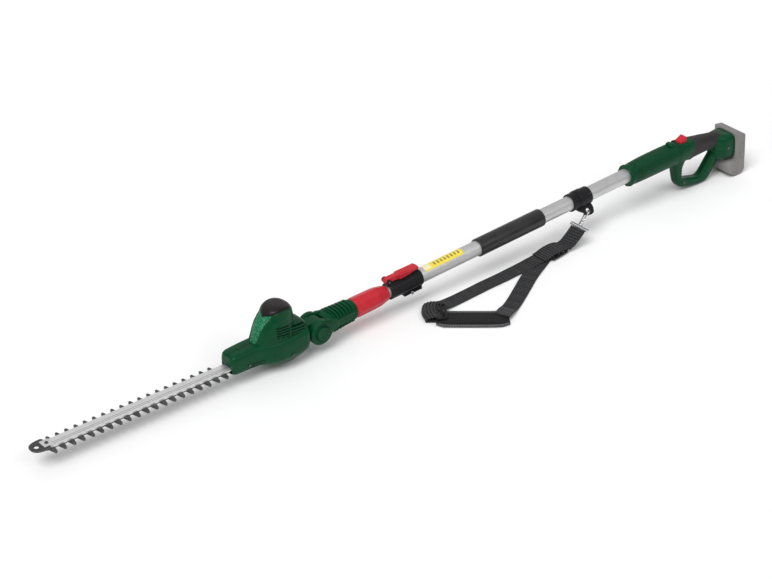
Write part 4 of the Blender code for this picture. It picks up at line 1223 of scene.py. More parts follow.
@dataclass
class TiltNeck:
    """Forked neck with ribbed grip bands, its bolt and the round tilt button."""

    end: float = 96.0
    rib_pitch: float = 8.2
    rib_height: float = 3.2

    def sleeve(self) -> bpy.types.Object:
        """The neck's sleeve: oval sections with stepped ribs above and below, and a ridge on each side.

        Returns:
            The sleeve.
        """
        table = [(22, 22.5, -15, 15.5, 3.0), (34, 22.6, -18, 18.4, 3.4), (46, 21.0, -18.2, 18.6, 3.5),
                 (64, 19.6, -17.8, 18.2, 3.4), (86, 18.8, -17.6, 18, 3.2), (92, 19.8, -19.2, 19.4, 2.3),
                 (self.end, 20.0, -19.6, 19.8, 2.0)]
        at = np.linspace(22, self.end, 210)
        y, z = oval(*flow(table, at).T, 240)
        x = np.broadcast_to(at[:, None], y.shape)
        wave = 0.5 + 0.5 * np.cos((x - 44) / self.rib_pitch * 2 * pi)
        field = step(np.abs(z), 9, 11) * band(x, 36, 87, 1.2)
        ribs = field * step(wave, 0.3, 0.6)
        ridge = band(z, 3.5, 7.5, 1.2) * band(x, 36, 86, 4)
        ring = band(x, 89, 94, 0.8)
        grid = swollen(np.stack([x, y, z], -1), self.rib_height * ribs + 1.4 * ridge + 0.9 * ring)
        # The gaps between the ribs are painted darker as shade.
        low = field * (1 - step(wave, 0.1, 0.35))
        piece = surface("neck_sleeve", grid, POLE, marks={"recess_shade": 0.5 * low})
        return dress(piece, Skin.GREEN, "mast", "neck_shell_near", "neck_shell_far")

    def ears(self) -> None:
        """Two ears of the fork: round plates at the pivot, each with an arm that tapers into the sleeve."""
        turn = np.radians(np.arange(0, 360, 5))
        disc = np.stack([np.cos(turn), np.sin(turn)], -1)
        arm = rounded([(16.6, -19.4), (30, -12), (46, -6), (46, 12), (34, 16), (16.6, 20.4)], 5)
        bored = [(24.2, -13.0), (26.5, -15.4), (26.5, -26.6), (24.2, -29.0), (15.3, -29.0), (15.3, -13.0)]
        dress(turned("neck_ear_near", bored, POLE, Turn.ACROSS, 0.7, ring=True, columns=96), Skin.GREEN, "mast")
        dress(slab("neck_ear_far", disc * 25.0, 13.0, 23.5, 2.6, POLE), Skin.GREEN, "mast")
        for name, low, high in (("near", -25.5, -13.0), ("far", 13.0, 23.0)):
            dress(slab(f"neck_arm_{name}", arm, low, high, 3.2, POLE), Skin.GREEN, "mast")

    def build(self) -> None:
        """Make the neck, its bolt and its button."""
        self.sleeve()
        self.ears()
        face = [(0, -31.6), (8.6, -31.6), (9.4, -33), (13.6, -33), (14.7, -31.8), (14.7, -23.5), (0, -23.5)]
        dress(turned("tilt_button_face", face, POLE, Turn.ACROSS, 0.7, columns=96), Skin.GREEN, "tilt_button",
              "tilt_button")
        collar = [(18.6, -28.4), (19.2, -30.4), (16.4, -30.6), (16.0, -28.4)]
        dress(turned("button_collar", collar, POLE, Turn.ACROSS, 0.6, ring=True, columns=96), Skin.GREEN, "mast")
        dress(fine_copy("pivot_bolt", "pivot_bolt_fine", 0.4), Skin.STEEL)


@dataclass
class Telescope:
    """Red locking collar, the tubes, the lever clamp, the label and the foam grip."""

    facets: int = 8
    collar_bore: float = 13.7
    foam_radius: float = 19.2
    tube_radius: float = 15.75
    wall: float = 1.5

    def collar(self) -> bpy.types.Object:
        """The locking collar: a ring of flats, radius R cos(pi/n) / cos(angle in the flat), eased at its edges.

        Returns:
            The collar.
        """
        start, end = station_of("lock_collar")
        table = [(start, 19.2), (start + 1.2, 20.4), (start + 6, 21.0), (end - 24, 20.2), (end - 20, 19.4),
                 (end - 1.4, 15.4), (end, 14.6)]
        at = np.concatenate([np.linspace(start, start + 6, 12), np.linspace(start + 7, end, 90)])
        outer = flow(table, at)
        angle = full_turn(360)[None, :]
        flat = 2 * pi / self.facets
        local = (angle % flat) - flat / 2
        facet = np.cos(flat / 2) / np.cos(local)
        radius = outer * (0.9 * facet + 0.1 * facet.mean()) * 1.03
        waist = band(at[:, None], end - 25.0, end - 23.5, 1.0) * 0.5
        radius = radius - waist
        x = np.broadcast_to(at[:, None], radius.shape)
        skin = np.stack([x, radius * np.cos(angle), radius * np.sin(angle)], -1)
        bore = np.stack([x[::-1], self.collar_bore * np.cos(angle) + 0 * x,
                         self.collar_bore * np.sin(angle) + 0 * x], -1)[[0, -1]]
        grid = np.concatenate([skin, bore])
        # The waist groove is painted darker as shade.
        mark = np.concatenate([0.4 * waist + 0 * radius, np.zeros((2, 360))])
        piece = surface("lock_collar_skin", grid, POLE, End.LOOP, marks={"recess_shade": mark})
        return dress(piece, Skin.RED, "lock_collar", "lock_collar")

    def tubes(self) -> None:
        """Both tubes and the foam grip as fine turned rings."""
        for node, outer, body in (("inner_tube", 13.0, "mast"), ("outer_tube", self.tube_radius, "pole")):
            start, end = station_of(node)
            ring = [(outer, start), (outer, end), (outer - self.wall, end), (outer - self.wall, start)]
            dress(turned(f"{node}_skin", ring, POLE, Turn.ALONG, 0.4, ring=True, columns=128), Skin.TUBE, body,
                  node)
        start, end = station_of("foam_grip")
        bore, rim = self.tube_radius + 0.3, self.foam_radius
        ring = [(rim, start), (rim, end), (bore, end), (bore, start)]
        foam = turned("foam_grip_skin", ring, POLE, Turn.ALONG, 1.8, ring=True, columns=128)
        dress(foam, Skin.FOAM, "pole", "foam_grip")

    def label(self) -> bpy.types.Object:
        """The printed film: a thin band round the tube's top and near side, with rounded corners.

        Returns:
            The film.
        """
        start, end = station_of("tube_label")
        along = np.linspace(start, end, 120)[:, None]
        centre, reach = radians(99), radians(37)
        corner = np.clip(4 - np.minimum(along - start, end - along), 0, 4)
        trim = (4 - np.sqrt(np.maximum(16 - corner ** 2, 0))) / self.tube_radius
        share = np.linspace(-1, 1, 40)[None, :]
        angle = centre + share * (reach - trim)
        out, under = self.tube_radius + 0.45, self.tube_radius + 0.3
        rows = [np.stack([along + 0 * angle, r * np.cos(angle), r * np.sin(angle)], -1) for r in (out, under)]
        grid = np.concatenate([rows[0], rows[1][:, ::-1]], axis=1)
        spot = np.stack([along - start + 0 * angle, (angle - centre) * self.tube_radius, 0 * angle], -1)
        marks = {"print": np.concatenate([spot, spot[:, ::-1]], axis=1)}
        return dress(surface("label_film", grid, POLE, marks=marks), Skin.LABEL, "pole", "tube_label")

    def clamp(self) -> None:
        """The lever clamp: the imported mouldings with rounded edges, and the small ribs of its rear grille."""
        dress(fine_copy("clamp_body", "clamp_moulding", 0.8, 3), Skin.BLACK)
        dress(fine_copy("clamp_lever", "clamp_lever_moulding", 1.1, 3), Skin.RED)
        _, end = station_of("clamp_body")
        ribs = []
        for index in range(6):
            place = end - 27 + index * 4.2
            outline = rounded([(place, -21.2), (place + 2.0, -21.2), (place + 2.0, -12), (place, -12)], 0.5)
            ribs.append(slab(f"rib_{index}", outline, -14.6, -12.4, 0.5, POLE))
        dress(merged("clamp_ribs", ribs), Skin.BLACK, "pole")
        teeth = []
        for index in range(4):
            place = end - 19 + index * 3.6
            outline = rounded([(place, 19.8), (place + 1.7, 19.8), (place + 1.7, 21.9), (place, 21.9)], 0.5)
            teeth.append(slab(f"tooth_{index}", outline, -9.5, 9.5, 0.5, POLE))
        dress(merged("clamp_serrations", teeth), Skin.BLACK, "pole")
        for node in ("lever_pin", "clamp_screw"):
            dress(fine_copy(node, f"{node}_fine", 0.25), Skin.STEEL)

    def build(self) -> None:
        """Make the collar, the tubes, the clamp and the label."""
        self.collar()
        self.tubes()
        self.label()
        self.clamp()
        repaint(Skin.BLACK, "guide_bush")


# ---------------------------------------------------------------- strap ring and harness


@dataclass
class StrapMount:
    """Ring clamp with its eye, and the snap hook and loop that hang from it."""

    hang: tuple[float, float, float] = (-0.814, -0.28, -0.506)
    loop_drop: float = 42.2
    wire: float = 2.1

    def hook_axes(self) -> Axes:
        """The hook's frame at the eye: up the hook, and its plane square to the eye's lug.

        Returns:
            The frame, with its origin at the eye.
        """
        up = -np.array(self.hang) / np.linalg.norm(self.hang)
        side = RING.across - up * (RING.across @ up)
        side = side / np.linalg.norm(side)
        return Axes(EYE, side, np.cross(up, side), up)

    def hook(self) -> bpy.types.Object:
        """The snap hook: a bar bent over the eye, its throat bar, its swivel and its collar.

        Returns:
            The snap hook.
        """
        axes = self.hook_axes()
        square = np.array([0.0, 1.0, 0.0])
        bow = np.radians(np.linspace(180, 0, 25))
        line = [(0, -32), (-1.5, -29.5), (-5.6, -27.2), (-7, -24), (-7, -15)]
        line += list(zip(7 * np.cos(bow), -7 + 7 * np.sin(bow))) + [(7, -10.8)]
        path = curve_through([(x, 0.0, z) for x, z in line], 0.6)
        throat = curve_through([(0, 0, -31.5), (4, 0, -30.4), (8.4, 0, -28.4)], 0.6)
        swivel = [(0, -29.5), (3.6, -29.9), (5.0, -31.4), (5.0, -34), (3.4, -34.6), (3.4, -35.2), (5.0, -35.8),
                  (5.0, -38.4), (3.5, -39.6), (0, -39.6)]
        parts = [swept("bow", path, self.wire, axes, square), swept("throat", throat, self.wire, axes, square),
                 turned("swivel", swivel, axes, Turn.UP, 0.5, columns=48)]
        return dress(merged("snap_hook_forged", parts), Skin.NICKEL, "strap", "snap_hook")

    def loop(self) -> bpy.types.Object:
        """The flat wire loop that the webbing passes through: a ring with rounded corners.

        Returns:
            The loop.
        """
        up = -np.array(self.hang) / np.linalg.norm(self.hang)
        width = np.array([0.12, -0.99, -0.06])
        axes = axes_from(EYE - up * self.loop_drop * MM, width, up - width * (up @ width))
        ring = rounded([(-23, -2.4), (23, -2.4), (23, 2.4), (-23, 2.4)], 2.2, steps=8)
        path = np.stack([ring[:, 0], ring[:, 1], 0 * ring[:, 0]], -1)
        bar = swept("strap_loop_wire", path, 1.6, axes, np.array([0.0, 0.0, 1.0]), closed=True)
        return dress(bar, Skin.NICKEL, "strap", "strap_loop")

    def build(self) -> None:
        """Make the hook and loop, and round the ring clamp's edges."""
        self.hook()
        self.loop()
        dress(fine_copy("hook_gate", "hook_gate_fine", 0.3), Skin.NICKEL)
        for node in ("ring_clamp_upper", "ring_clamp_lower"):
            dress(fine_copy(node, f"{node}_moulding", 0.9, 3), Skin.BLACK)
        band_ring = [(20.6, -9), (20.6, 9), (19.2, 9), (19.2, -9)]
        dress(turned("ring_clamp_band", band_ring, RING, Turn.ALONG, 0.7, ring=True, columns=128), Skin.BLACK,
              "pole")
        dress(fine_copy("ring_bolt", "ring_bolt_fine", 0.3), Skin.STEEL)


@dataclass(frozen=True)
class Run:
    """One stretch of webbing: stations of (x from the pivot, y, height, heading in degrees) and its width."""

    name: str
    stations: tuple[tuple[float, float, float, float], ...]
    width: float
    rests_on: str


@dataclass
class Harness:
    """The shoulder strap: ribbed webbing, slider, buckle and a padded sleeve with stitched edges."""

    thick: float = 1.7
    rib: float = 5.2
    rib_height: float = 0.6
    pad_half: float = 30.0
    pad_height: float = 7.0

    RUNS = (
        Run("webbing_drop", ((681, -32.4, 38.6, 187), (676, -31.6, 32.0, 188), (664, -31, 20.6, 190),
                             (650, -30, 9.8, 190), (637, -28.6, 7.2, 190), (622, -28.2, 8.4, 188),
                             (606, -28.4, 8.0, 186)), 38.0, "strap_loop"),
        Run("webbing_long", ((612, -28, 2.4, 182), (590, -29.6, 4.4, 181), (560, -31, 3.6, 182),
                             (530, -32, 1.6, 183), (500, -33, 0.6, 184), (461, -35, 0.3, 182),
                             (418, -36.4, 0.6, 182), (380, -38.5, 0.3, 184), (344, -41, 0.5, 184),
                             (306, -43.5, 2.2, 184), (290, -44.5, 5.4, 182), (270, -45, 9.6, 176)), 34.5, "floor"),
        Run("webbing_return", ((604, -22, 1.0, 205), (580, -33, 0.8, 207), (560, -43, 0.3, 208),
                               (512, -67, 0.2, 211), (470, -92, 0.5, 212), (430, -116, 0.4, 211),
                               (398, -134, 2.0, 208), (374, -146, 7.6, 205), (356, -154, 8.0, 205)), 34.5,
            "floor"),
    )
    PAD = ((368, -163, 0.2, 143), (345, -148.5, 0.2, 140), (325, -133, 0.2, 139), (305, -116.5, 0.2, 139),
           (285, -100, 0.2, 140), (266, -84, 0.4, 141), (252, -72, 1.4, 142))

    def spine(self, stations: tuple[tuple[float, float, float, float], ...],
              spacing: float) -> tuple[np.ndarray, np.ndarray, np.ndarray, np.ndarray]:
        """A run's middle line with its sideways and upward directions.

        Args:
            stations: The run's stations.
            spacing: Distance between rows in millimetres.

        Returns:
            Middle points, side vectors, up vectors and the distance along the line.
        """
        line = curve_through([tuple(map(float, s)) for s in stations], spacing)
        middle, heading = line[:, :3], np.radians(line[:, 3])
        side = np.stack([-np.sin(heading), np.cos(heading), 0 * heading], -1)
        ahead = np.gradient(middle, axis=0)
        up = np.cross(ahead, side)
        up *= np.sign(up[:, 2:]) / np.linalg.norm(up, axis=1, keepdims=True)
        travel = np.concatenate([[0], np.cumsum(np.linalg.norm(np.diff(middle, axis=0), axis=1))])
        return middle, side, up, travel

    def webbing(self, run: Run, stands_for: tuple[str, ...]) -> bpy.types.Object:
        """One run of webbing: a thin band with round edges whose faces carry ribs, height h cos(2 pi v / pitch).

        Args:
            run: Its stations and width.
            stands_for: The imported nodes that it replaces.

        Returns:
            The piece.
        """
        middle, side, up, travel = self.spine(run.stations, 0.7)
        half = run.width / 2
        flat = np.linspace(half - 0.8, -half + 0.8, 34)
        bend = np.linspace(pi / 2, -pi / 2, 7)[1:-1]
        across = np.concatenate([flat[::-1], half - 0.8 + 0.8 * np.cos(bend), flat,
                                 -half + 0.8 - 0.8 * np.cos(bend)])
        lift = np.concatenate([np.full(34, 1.0), np.sin(bend), np.full(34, -1.0), -np.sin(bend)])
        ribs = self.rib_height * (0.5 + 0.5 * np.cos(travel / self.rib * 2 * pi))[:, None]
        waviness = 0.35 * (1 + np.sin(travel / 47.0))[:, None] * (across / half)[None, :] ** 2
        height = self.thick / 2 * (1 + lift) + ribs * np.maximum(lift, 0) * step(half - np.abs(across), 0.2, 1.6)
        height = height + waviness
        grid = (middle[:, None] + side[:, None] * across[None, :, None]
                + up[:, None] * height[..., None])
        weave = np.stack([np.broadcast_to(across, height.shape), np.broadcast_to(travel[:, None], height.shape),
                          0 * height], -1)
        piece = surface(f"{run.name}_cloth", grid, FLOOR, marks={"weave": weave})
        dress(piece, Skin.WEBBING, "strap", *stands_for)
        return piece

    def pad(self) -> bpy.types.Object:
        """The padded sleeve: a crowned middle between flat bound edges, drawn in at its sewn ends.

        Returns:
            The padded sleeve.
        """
        middle, side, up, travel = self.spine(self.PAD, 0.9)
        share = np.linspace(-1, 1, 61)
        width = self.pad_half * (0.8 + 0.2 * step(travel, 0, 16) * (1 - step(travel, travel[-1] - 16, travel[-1])))
        across = width[:, None] * share[None, :]
        ends = step(travel, 0, 26)[:, None] * (1 - step(travel, travel[-1] - 22, travel[-1]))[:, None]
        crown = 1 - step(np.abs(across), 17.5, 22.0)
        puckers = 1 - 0.10 * (0.5 + 0.5 * np.cos(travel / 6.5 * 2 * pi))[:, None] * step(np.abs(across), 10, 18)
        top = 2.2 + (self.pad_height - 2.6) * crown * (0.25 + 0.75 * ends) * puckers
        top = top + 0.25 * np.cos(travel / 3.2 * 2 * pi)[:, None] * step(np.abs(across), 23, 24)
        edge = np.sqrt(np.clip(1 - share ** 8, 0, 1))
        top = 1.0 + (top - 1.0) * edge
        under = np.broadcast_to(1.0 - edge, top.shape)
        across_all = np.concatenate([across, across[:, -2:0:-1]], axis=1)
        height = np.concatenate([top, under[:, -2:0:-1]], axis=1)
        grid = middle[:, None] + side[:, None] * across_all[..., None] + up[:, None] * height[..., None]
        weave = np.stack([across_all, np.broadcast_to(travel[:, None], height.shape), 0 * height], -1)
        piece = surface("shoulder_pad_sleeve", grid, FLOOR, marks={"weave": weave})
        dress(piece, Skin.PAD, "strap", "shoulder_pad")
        return piece

    def bindings(self) -> None:
        """Woven tape along both edges of the pad, with rows of stitches and a sewn patch at its end."""
        middle, side, up, travel = self.spine(self.PAD, 0.9)
        stitches = []
        for edge in (-1, 1):
            share = np.linspace(-1, 1, 15)
            width = self.pad_half * (0.8 + 0.2 * step(travel, 0, 16)
                                     * (1 - step(travel, travel[-1] - 16, travel[-1])))
            offset = edge * (width[:, None] - 4.0) + share * 4.8
            ridge = 2.7 + 0.3 * np.cos(travel / 3.2 * 2 * pi)[:, None] * np.ones((1, 15))
            thick = np.sqrt(np.clip(1 - share ** 6, 0, 1))
            top = 1.7 + (ridge - 1.7) * thick
            under = 1.7 - 0.5 * thick + 0 * ridge
            across = np.concatenate([offset, offset[:, -2:0:-1]], axis=1)
            height = np.concatenate([top, under[:, -2:0:-1]], axis=1)
            grid = middle[:, None] + side[:, None] * across[..., None] + up[:, None] * height[..., None]
            weave = np.stack([across, np.broadcast_to(travel[:, None], height.shape), 0 * height], -1)
            name = "pad_binding_near" if edge < 0 else "pad_binding_far"
            tape = dress(surface(name, grid, FLOOR, marks={"weave": weave}), Skin.TAPE, "strap")
            for index in range(4, len(travel) - 6, 6):
                place = np.array([middle[i] + side[i] * edge * (width[i] - 4.2) + up[i] * 3.1
                                  for i in range(index, index + 4)])
                stitches.append(swept(f"stitch_{edge}_{index}", place, 0.62, FLOOR, np.array([0.0, 0.0, 1.0]),
                                      columns=6, blunted=True))
        ahead, aside = np.array([-0.906, -0.423, 0.0]), np.array([0.423, -0.906, 0.0])
        for lane in np.linspace(-14, 14, 6):
            for index in range(5):
                slant = 1.8 if index % 2 else -1.8
                ends = [np.array([379.0, -143.0, 10.7]) + ahead * (index * 4.6 + reach) + aside * (lane + s)
                        for reach, s in ((0.0, -slant), (3.6, slant))]
                stitches.append(swept(f"patch_{lane:.0f}_{index}", np.array(ends), 0.5, FLOOR,
                                      np.array([0.0, 0.0, 1.0]), columns=6, blunted=True))
        dress(merged("pad_stitching", stitches), Skin.THREAD, "strap")

    def fold(self) -> bpy.types.Object:
        """The gathered end past the buckle: webbing wrapped over the pad's end and back under it in soft folds.

        Returns:
            The gathered end.
        """
        table = [(-17, 5.0), (-9, 9.8), (2, 12.2), (12, 10.6), (19, 6.6), (20.5, 3.4), (16, 1.5), (4, 1.0), (-8, 1.0)]
        line = curve_through([tuple(map(float, p)) for p in table], 0.6)
        travel = np.concatenate([[0], np.cumsum(np.linalg.norm(np.diff(line, axis=0), axis=1))])
        heading = radians(146)
        ahead = np.array([np.cos(heading), np.sin(heading), 0.0])
        side = np.array([-np.sin(heading), np.cos(heading), 0.0])
        middle = np.array([259.0, -54.0, 0.0]) + ahead * line[:, :1] + np.array([0, 0, 1.0]) * line[:, 1:]
        share = np.linspace(-1, 1, 61)[None, :]
        bow = 5.0 * share ** 2
        ridge = np.abs(np.sin((travel[:, None] + bow) * pi / 6.4)) ** 1.5 * 1.5 * band(travel[:, None], 3, 42, 4)
        slope = np.gradient(middle, axis=0)
        up = np.cross(slope, side)
        up *= np.sign(up[:1, 2:]) / np.linalg.norm(up, axis=1, keepdims=True)
        faces = [middle[:, None] + side * (share * 30.0)[..., None] - ahead * bow[..., None]
                 + up[:, None] * (offset + ridge)[..., None] for offset in (0.7, -0.7)]
        grid = np.concatenate([faces[0], faces[1][:, ::-1]], axis=1)
        grid[..., 2] = np.maximum(grid[..., 2], 0.25)
        spot = np.stack([share * 30.0 + 0 * travel[:, None], travel[:, None] + 0 * share,
                         0 * travel[:, None] + 0 * share], -1)
        marks = {"weave": np.concatenate([spot, spot[:, ::-1]], axis=1)}
        piece = dress(surface("webbing_fold", grid, FLOOR, marks=marks), Skin.WEBBING, "strap")
        return piece

    def keeper(self) -> bpy.types.Object:
        """The webbing's turned-back layer that bulges over the slider.

        Returns:
            The turned-back layer.
        """
        run = Run("slider_layer", ((644, -28.5, 6.0, 189), (636, -28.4, 9.4, 188), (622, -28.4, 11.2, 188),
                                   (606, -29, 11.0, 185), (592, -30, 9.4, 183), (580, -31, 6.8, 182),
                                   (570, -31.6, 5.6, 182)), 40.0, "strap_slider")
        return self.webbing(run, ())

    def ladders(self) -> None:
        """The slider and the buckle: moulded frames with bars between the webbing's layers."""
        for name, node, centre, half, bars, turn, height in (
                ("slider_frame", "strap_slider", (611.0, -28.6), (23.0, 21.5), (-22.0, -8.0, 8.0, 22.0), 188, 5.2),
                ("buckle_frame", "strap_buckle", (270.0, -68.5), (9.0, 27.0), (-8.0, 0.0, 8.0), 142, 10.8)):
            heading = radians(turn)
            across = np.array([-np.sin(heading), np.cos(heading), 0.0])
            axes = axes_from(FLOOR.place(np.array([centre[0], centre[1], height])),
                             np.array([np.cos(heading), np.sin(heading), 0.0]), across)
            square = np.array([0.0, 0.0, 1.0])
            ring = rounded([(-half[0], -half[1]), (half[0], -half[1]), (half[0], half[1]), (-half[0], half[1])],
                           3.0, steps=6)
            parts = [swept("rim", np.stack([ring[:, 0], ring[:, 1], 0 * ring[:, 0]], -1), 2.3, axes, square,
                           closed=True)]
            for place in bars:
                line = np.array([(place, y, 0.0) for y in np.linspace(-half[1], half[1], 24)])
                parts.append(swept("bar", line, 2.0, axes, square))
            dress(merged(name, parts), Skin.BLACK, "strap", node)

    def build(self) -> None:
        """Make the webbing, the pad with its bindings, the fold and the frames."""
        for run in self.RUNS:
            self.webbing(run, (run.name,))
        self.keeper()
        self.pad()
        self.bindings()
        self.fold()
        self.ladders()


# ---------------------------------------------------------------- rear handle and battery


@dataclass
class RearHandle:
    """Ribbed barrel, soft grip, D-guard and battery housing, drawn in pole millimetres."""

    lip: float = 850.0
    barrel_end: float = 1038.0
    slant: float = 0.5
    rib_pitch: float = 3.5
    rib_height: float = 0.5
    guard_half: float = 11.5

    def barrel(self) -> bpy.types.Object:
        """The barrel: oval sections with fine ribs, a stronger ribbed strip, a lugged lip and a plain panel.

        Returns:
            The barrel.
        """
        table = [(850, 23.4, -24.4, 23.4, 2.2), (853.5, 23.4, -24.4, 23.4, 2.2), (856, 21.6, -23.4, 21.2, 2.3),
                 (900, 22.5, -24, 22.6, 2.5), (960, 23, -24.2, 22, 2.6), (1000, 22.6, -25.2, 20.4, 2.6),
                 (1020, 21.8, -27, 18.8, 2.6), (1038, 20.8, -28, 17.0, 2.5)]
        at = np.linspace(self.lip, self.barrel_end, 380)
        y, z = oval(*flow(table, at).T, 256)
        x = np.broadcast_to(at[:, None], y.shape)
        turn = np.degrees(np.arctan2(z, np.abs(y)))
        panel = band(x, 884, 988, 2) * band(turn, -52, -4, 4)
        strip = band(x, 868, 1024, 3) * band(turn, 14, 34, 3)
        wave = 0.5 + 0.5 * np.cos((x - 866) / self.rib_pitch * 2 * pi)
        ribs = step(wave, 0.2, 0.8) * band(x, 864, 1000, 3) * (1 - panel)
        lugs = band(x, 850.6, 855, 0.8) * np.clip(np.cos(np.radians(turn) * 4), 0, 1) ** 3 * 2.2
        seam = band(y, -0.35, 0.35, 0.3) * 0.5
        border = (band(turn, 10, 13, 1) + band(turn, 35, 38, 1)) * band(x, 868, 1024, 2) * 0.5
        grid = swollen(np.stack([x, y, z], -1),
                       self.rib_height * ribs * (1 + 0.8 * strip) + lugs - seam - border + 0.5 * panel)
        grid[..., 0] += self.slant * grid[..., 2] * step(x, 975, 1034)
        # The gaps between the ribs, the seam and the borders are painted darker as shade.
        mark = np.clip(0.5 * (1 - step(wave, 0.05, 0.4)) * band(x, 864, 1000, 3) * (1 - panel) + seam + border,
                       0, 1)
        piece = surface("handle_barrel", grid, POLE, marks={"recess_shade": 0.7 * mark}, crease=50)
        boss = rounded([(975, 15), (976, 27.5), (981, 29.2), (987, 28), (991, 22), (1000, 19), (1000, 15)], 2)
        dress(slab("barrel_boss", boss, -8.5, 8.5, 3.0, POLE), Skin.GREEN, "pole")
        bezel = rounded([(998, 16), (998, 22.6), (1003, 22.2), (1030, 17.6), (1036, 15.6), (1036, 10)], 1.5)
        for side, low, high in (("near", -13.2, -10.2), ("far", 10.2, 13.2)):
            dress(slab(f"switch_bezel_{side}", bezel, low, high, 1.2, POLE), Skin.GREEN, "pole")
        return dress(piece, Skin.GREEN, "pole", "handle_shell_near", "handle_shell_far")

    def guard(self) -> bpy.types.Object:
        """The D-guard: squarish sections between an outer and an inner line, from the barrel round to the housing.

        Returns:
            The guard.
        """
        outer = [(976, -14), (983, -24), (989, -38), (993, -56), (997, -72), (1003, -84), (1014, -92),
                 (1044, -99.8), (1066, -104.2), (1084, -104.8), (1093, -103), (1104, -94), (1116, -81), (1128, -66),
                 (1134, -44)]
        inner = [(1036, -16), (1028, -25), (1020, -34), (1014.5, -45), (1013.5, -58), (1016, -66.5), (1025, -73),
                 (1042, -79), (1058, -84), (1067, -86), (1076, -83), (1087, -72), (1098, -59), (1110, -45),
                 (1122, -24)]
        share = np.linspace(0, 1, len(outer))
        at = np.linspace(0, 1, 230)
        low = flow([(s, *p) for s, p in zip(share, outer)], at)
        high = flow([(s, *p) for s, p in zip(share, inner)], at)
        angle = full_turn(96)[None, :]
        cos, sin = np.cos(angle), np.sin(angle)
        across = self.guard_half * squarish(sin, 0.5)
        reach = squarish(cos, 0.55)
        seam = band(across, -0.35, 0.35, 0.3)
        reach = reach * (1 - 0.035 * seam)
        blend = (1 + reach[..., None]) / 2
        flat = low[:, None] * (1 - blend) + high[:, None] * blend
        grid = np.stack([flat[..., 0], np.broadcast_to(across, flat.shape[:2]), flat[..., 1]], -1)
        mark = np.broadcast_to(0.7 * seam, flat.shape[:2])
        return dress(surface("d_guard", grid, POLE, marks={"recess_shade": mark}), Skin.GREEN, "pole")

    def housing(self) -> None:
        """The battery housing: squarish sections that open towards the battery, with a rim and side panels."""
        table = [(1112, 13, -50, -6, 2.6), (1115, 17.5, -56, -3, 2.6), (1122, 22.6, -63.5, -2, 2.8),
                 (1130, 26.2, -67.5, -3, 3.2), (1142, 28, -68.5, -5, 3.8), (1152, 28.2, -67.5, -7.4, 4.6),
                 (1158, 28.6, -66, -8.4, 5.0), (1160, 28, -65, -9, 5.0)]
        at = np.linspace(1112, 1160, 120)
        y, z = oval(*flow(table, at).T, 260)
        x = np.broadcast_to(at[:, None], y.shape)
        panel = band(x, 1131, 1150, 0.8) * band(z, -58, -16, 0.8) * (np.abs(y) > 12)
        rim = band(x, 1153.5, 1154.6, 0.4)
        seam = band(y, -0.35, 0.35, 0.3)
        grid = swollen(np.stack([x, y, z], -1), 0.9 * panel - 0.7 * rim - 0.4 * seam)
        # The rim groove and the seam are painted darker as shade.
        piece = surface("battery_housing", grid, POLE, marks={"recess_shade": np.clip(0.8 * rim + 0.6 * seam, 0, 1)})
        dress(piece, Skin.GREEN, "pole")

    def grip(self) -> bpy.types.Object:
        """The soft grip: oval sections that sink a little between two end beads, with fine rows of ribs.

        Returns:
            The grip.
        """
        table = [(1038.4, 20.6, -27.8, 16.8, 2.5), (1058, 19.6, -28.6, 13.0, 2.6), (1080, 17.8, -29.4, 9.4, 2.6),
                 (1100, 16.2, -29.9, 5.0, 2.6), (1122, 15.4, -30.6, 0.6, 2.6), (1130, 15.4, -30.8, -1.0, 2.6)]
        at = np.linspace(1038.4, 1130, 190)
        y, z = oval(*flow(table, at).T, 200)
        x = np.broadcast_to(at[:, None], y.shape)
        beads = band(x, 1039, 1041, 0.8) + band(x, 1118, 1121, 0.8)
        wave = 0.5 + 0.5 * np.cos((x - 1066) / 2.6 * 2 * pi)
        field = band(x, 1048, 1114, 2) * (np.abs(y) > 4) * band(z, -22, 6, 3)
        grid = swollen(np.stack([x, y, z], -1), 0.4 * beads + 0.2 * step(wave, 0.5, 0.9) * field)
        grid[..., 0] += self.slant * grid[..., 2] * (1 - step(x, 1042, 1100))
        # The gaps between the ribs are painted darker as shade.
        piece = surface("soft_grip_skin", grid, POLE, marks={"recess_shade": 0.35 * field * (1 - step(wave, 0.2, 0.6))})
        return dress(piece, Skin.GRIP, "pole", "soft_grip")

    def build(self) -> None:
        """Make the handle and dress its switches and screws."""
        self.barrel()
        self.guard()
        self.housing()
        self.grip()
        dress(fine_copy("lock_out_switch", "lock_out_button", 1.0, 3), Skin.RED)
        dress(fine_copy("trigger", "trigger_moulding", 1.2, 3), Skin.BLACK)
        for node in ("handle_screw_1", "handle_screw_2"):
            dress(fine_copy(node, f"{node}_fine", 0.3), Skin.TEETH)
        repaint(Skin.BLACK, "switch_module", "terminal_block")
        repaint(Skin.STEEL, "trigger_pin")
        repaint(Skin.BOARD, "control_board")


@dataclass
class BatteryPack:
    """Slide-on battery: two grey mouldings with side ribs, a latch and its cells."""

    half: float = 34.6

    def build(self) -> None:
        """Make the battery's mouldings and ribs, and dress its cells."""
        dress(fine_copy("battery_case", "battery_case_moulding", 1.4, 3), Skin.GREY)
        dress(fine_copy("battery_cover", "battery_cover_moulding", 1.4, 3), Skin.GREY)
        ribs = []
        for sign in (-1, 1):
            low, high = sorted((sign * (self.half - 1.0), sign * (self.half + 1.5)))
            stripe = rounded([(1172, -34), (1179, -34), (1179, -72), (1172, -72)], 3.2)
            dot = rounded([(1172.5, -24), (1177.5, -24), (1177.5, -29), (1172.5, -29)], 2.4)
            ribs.append(slab("stripe", stripe, low, high, 1.2, POLE))
            ribs.append(slab("dot", dot, low, high - 0.4, 0.8, POLE))
        dress(merged("battery_side_ribs", ribs), Skin.GREY, "battery")
        dress(fine_copy("battery_latch", "battery_latch_button", 0.8, 3), Skin.RED)
        repaint(Skin.CELLS, "battery_cells")


# ---------------------------------------------------------------- studio


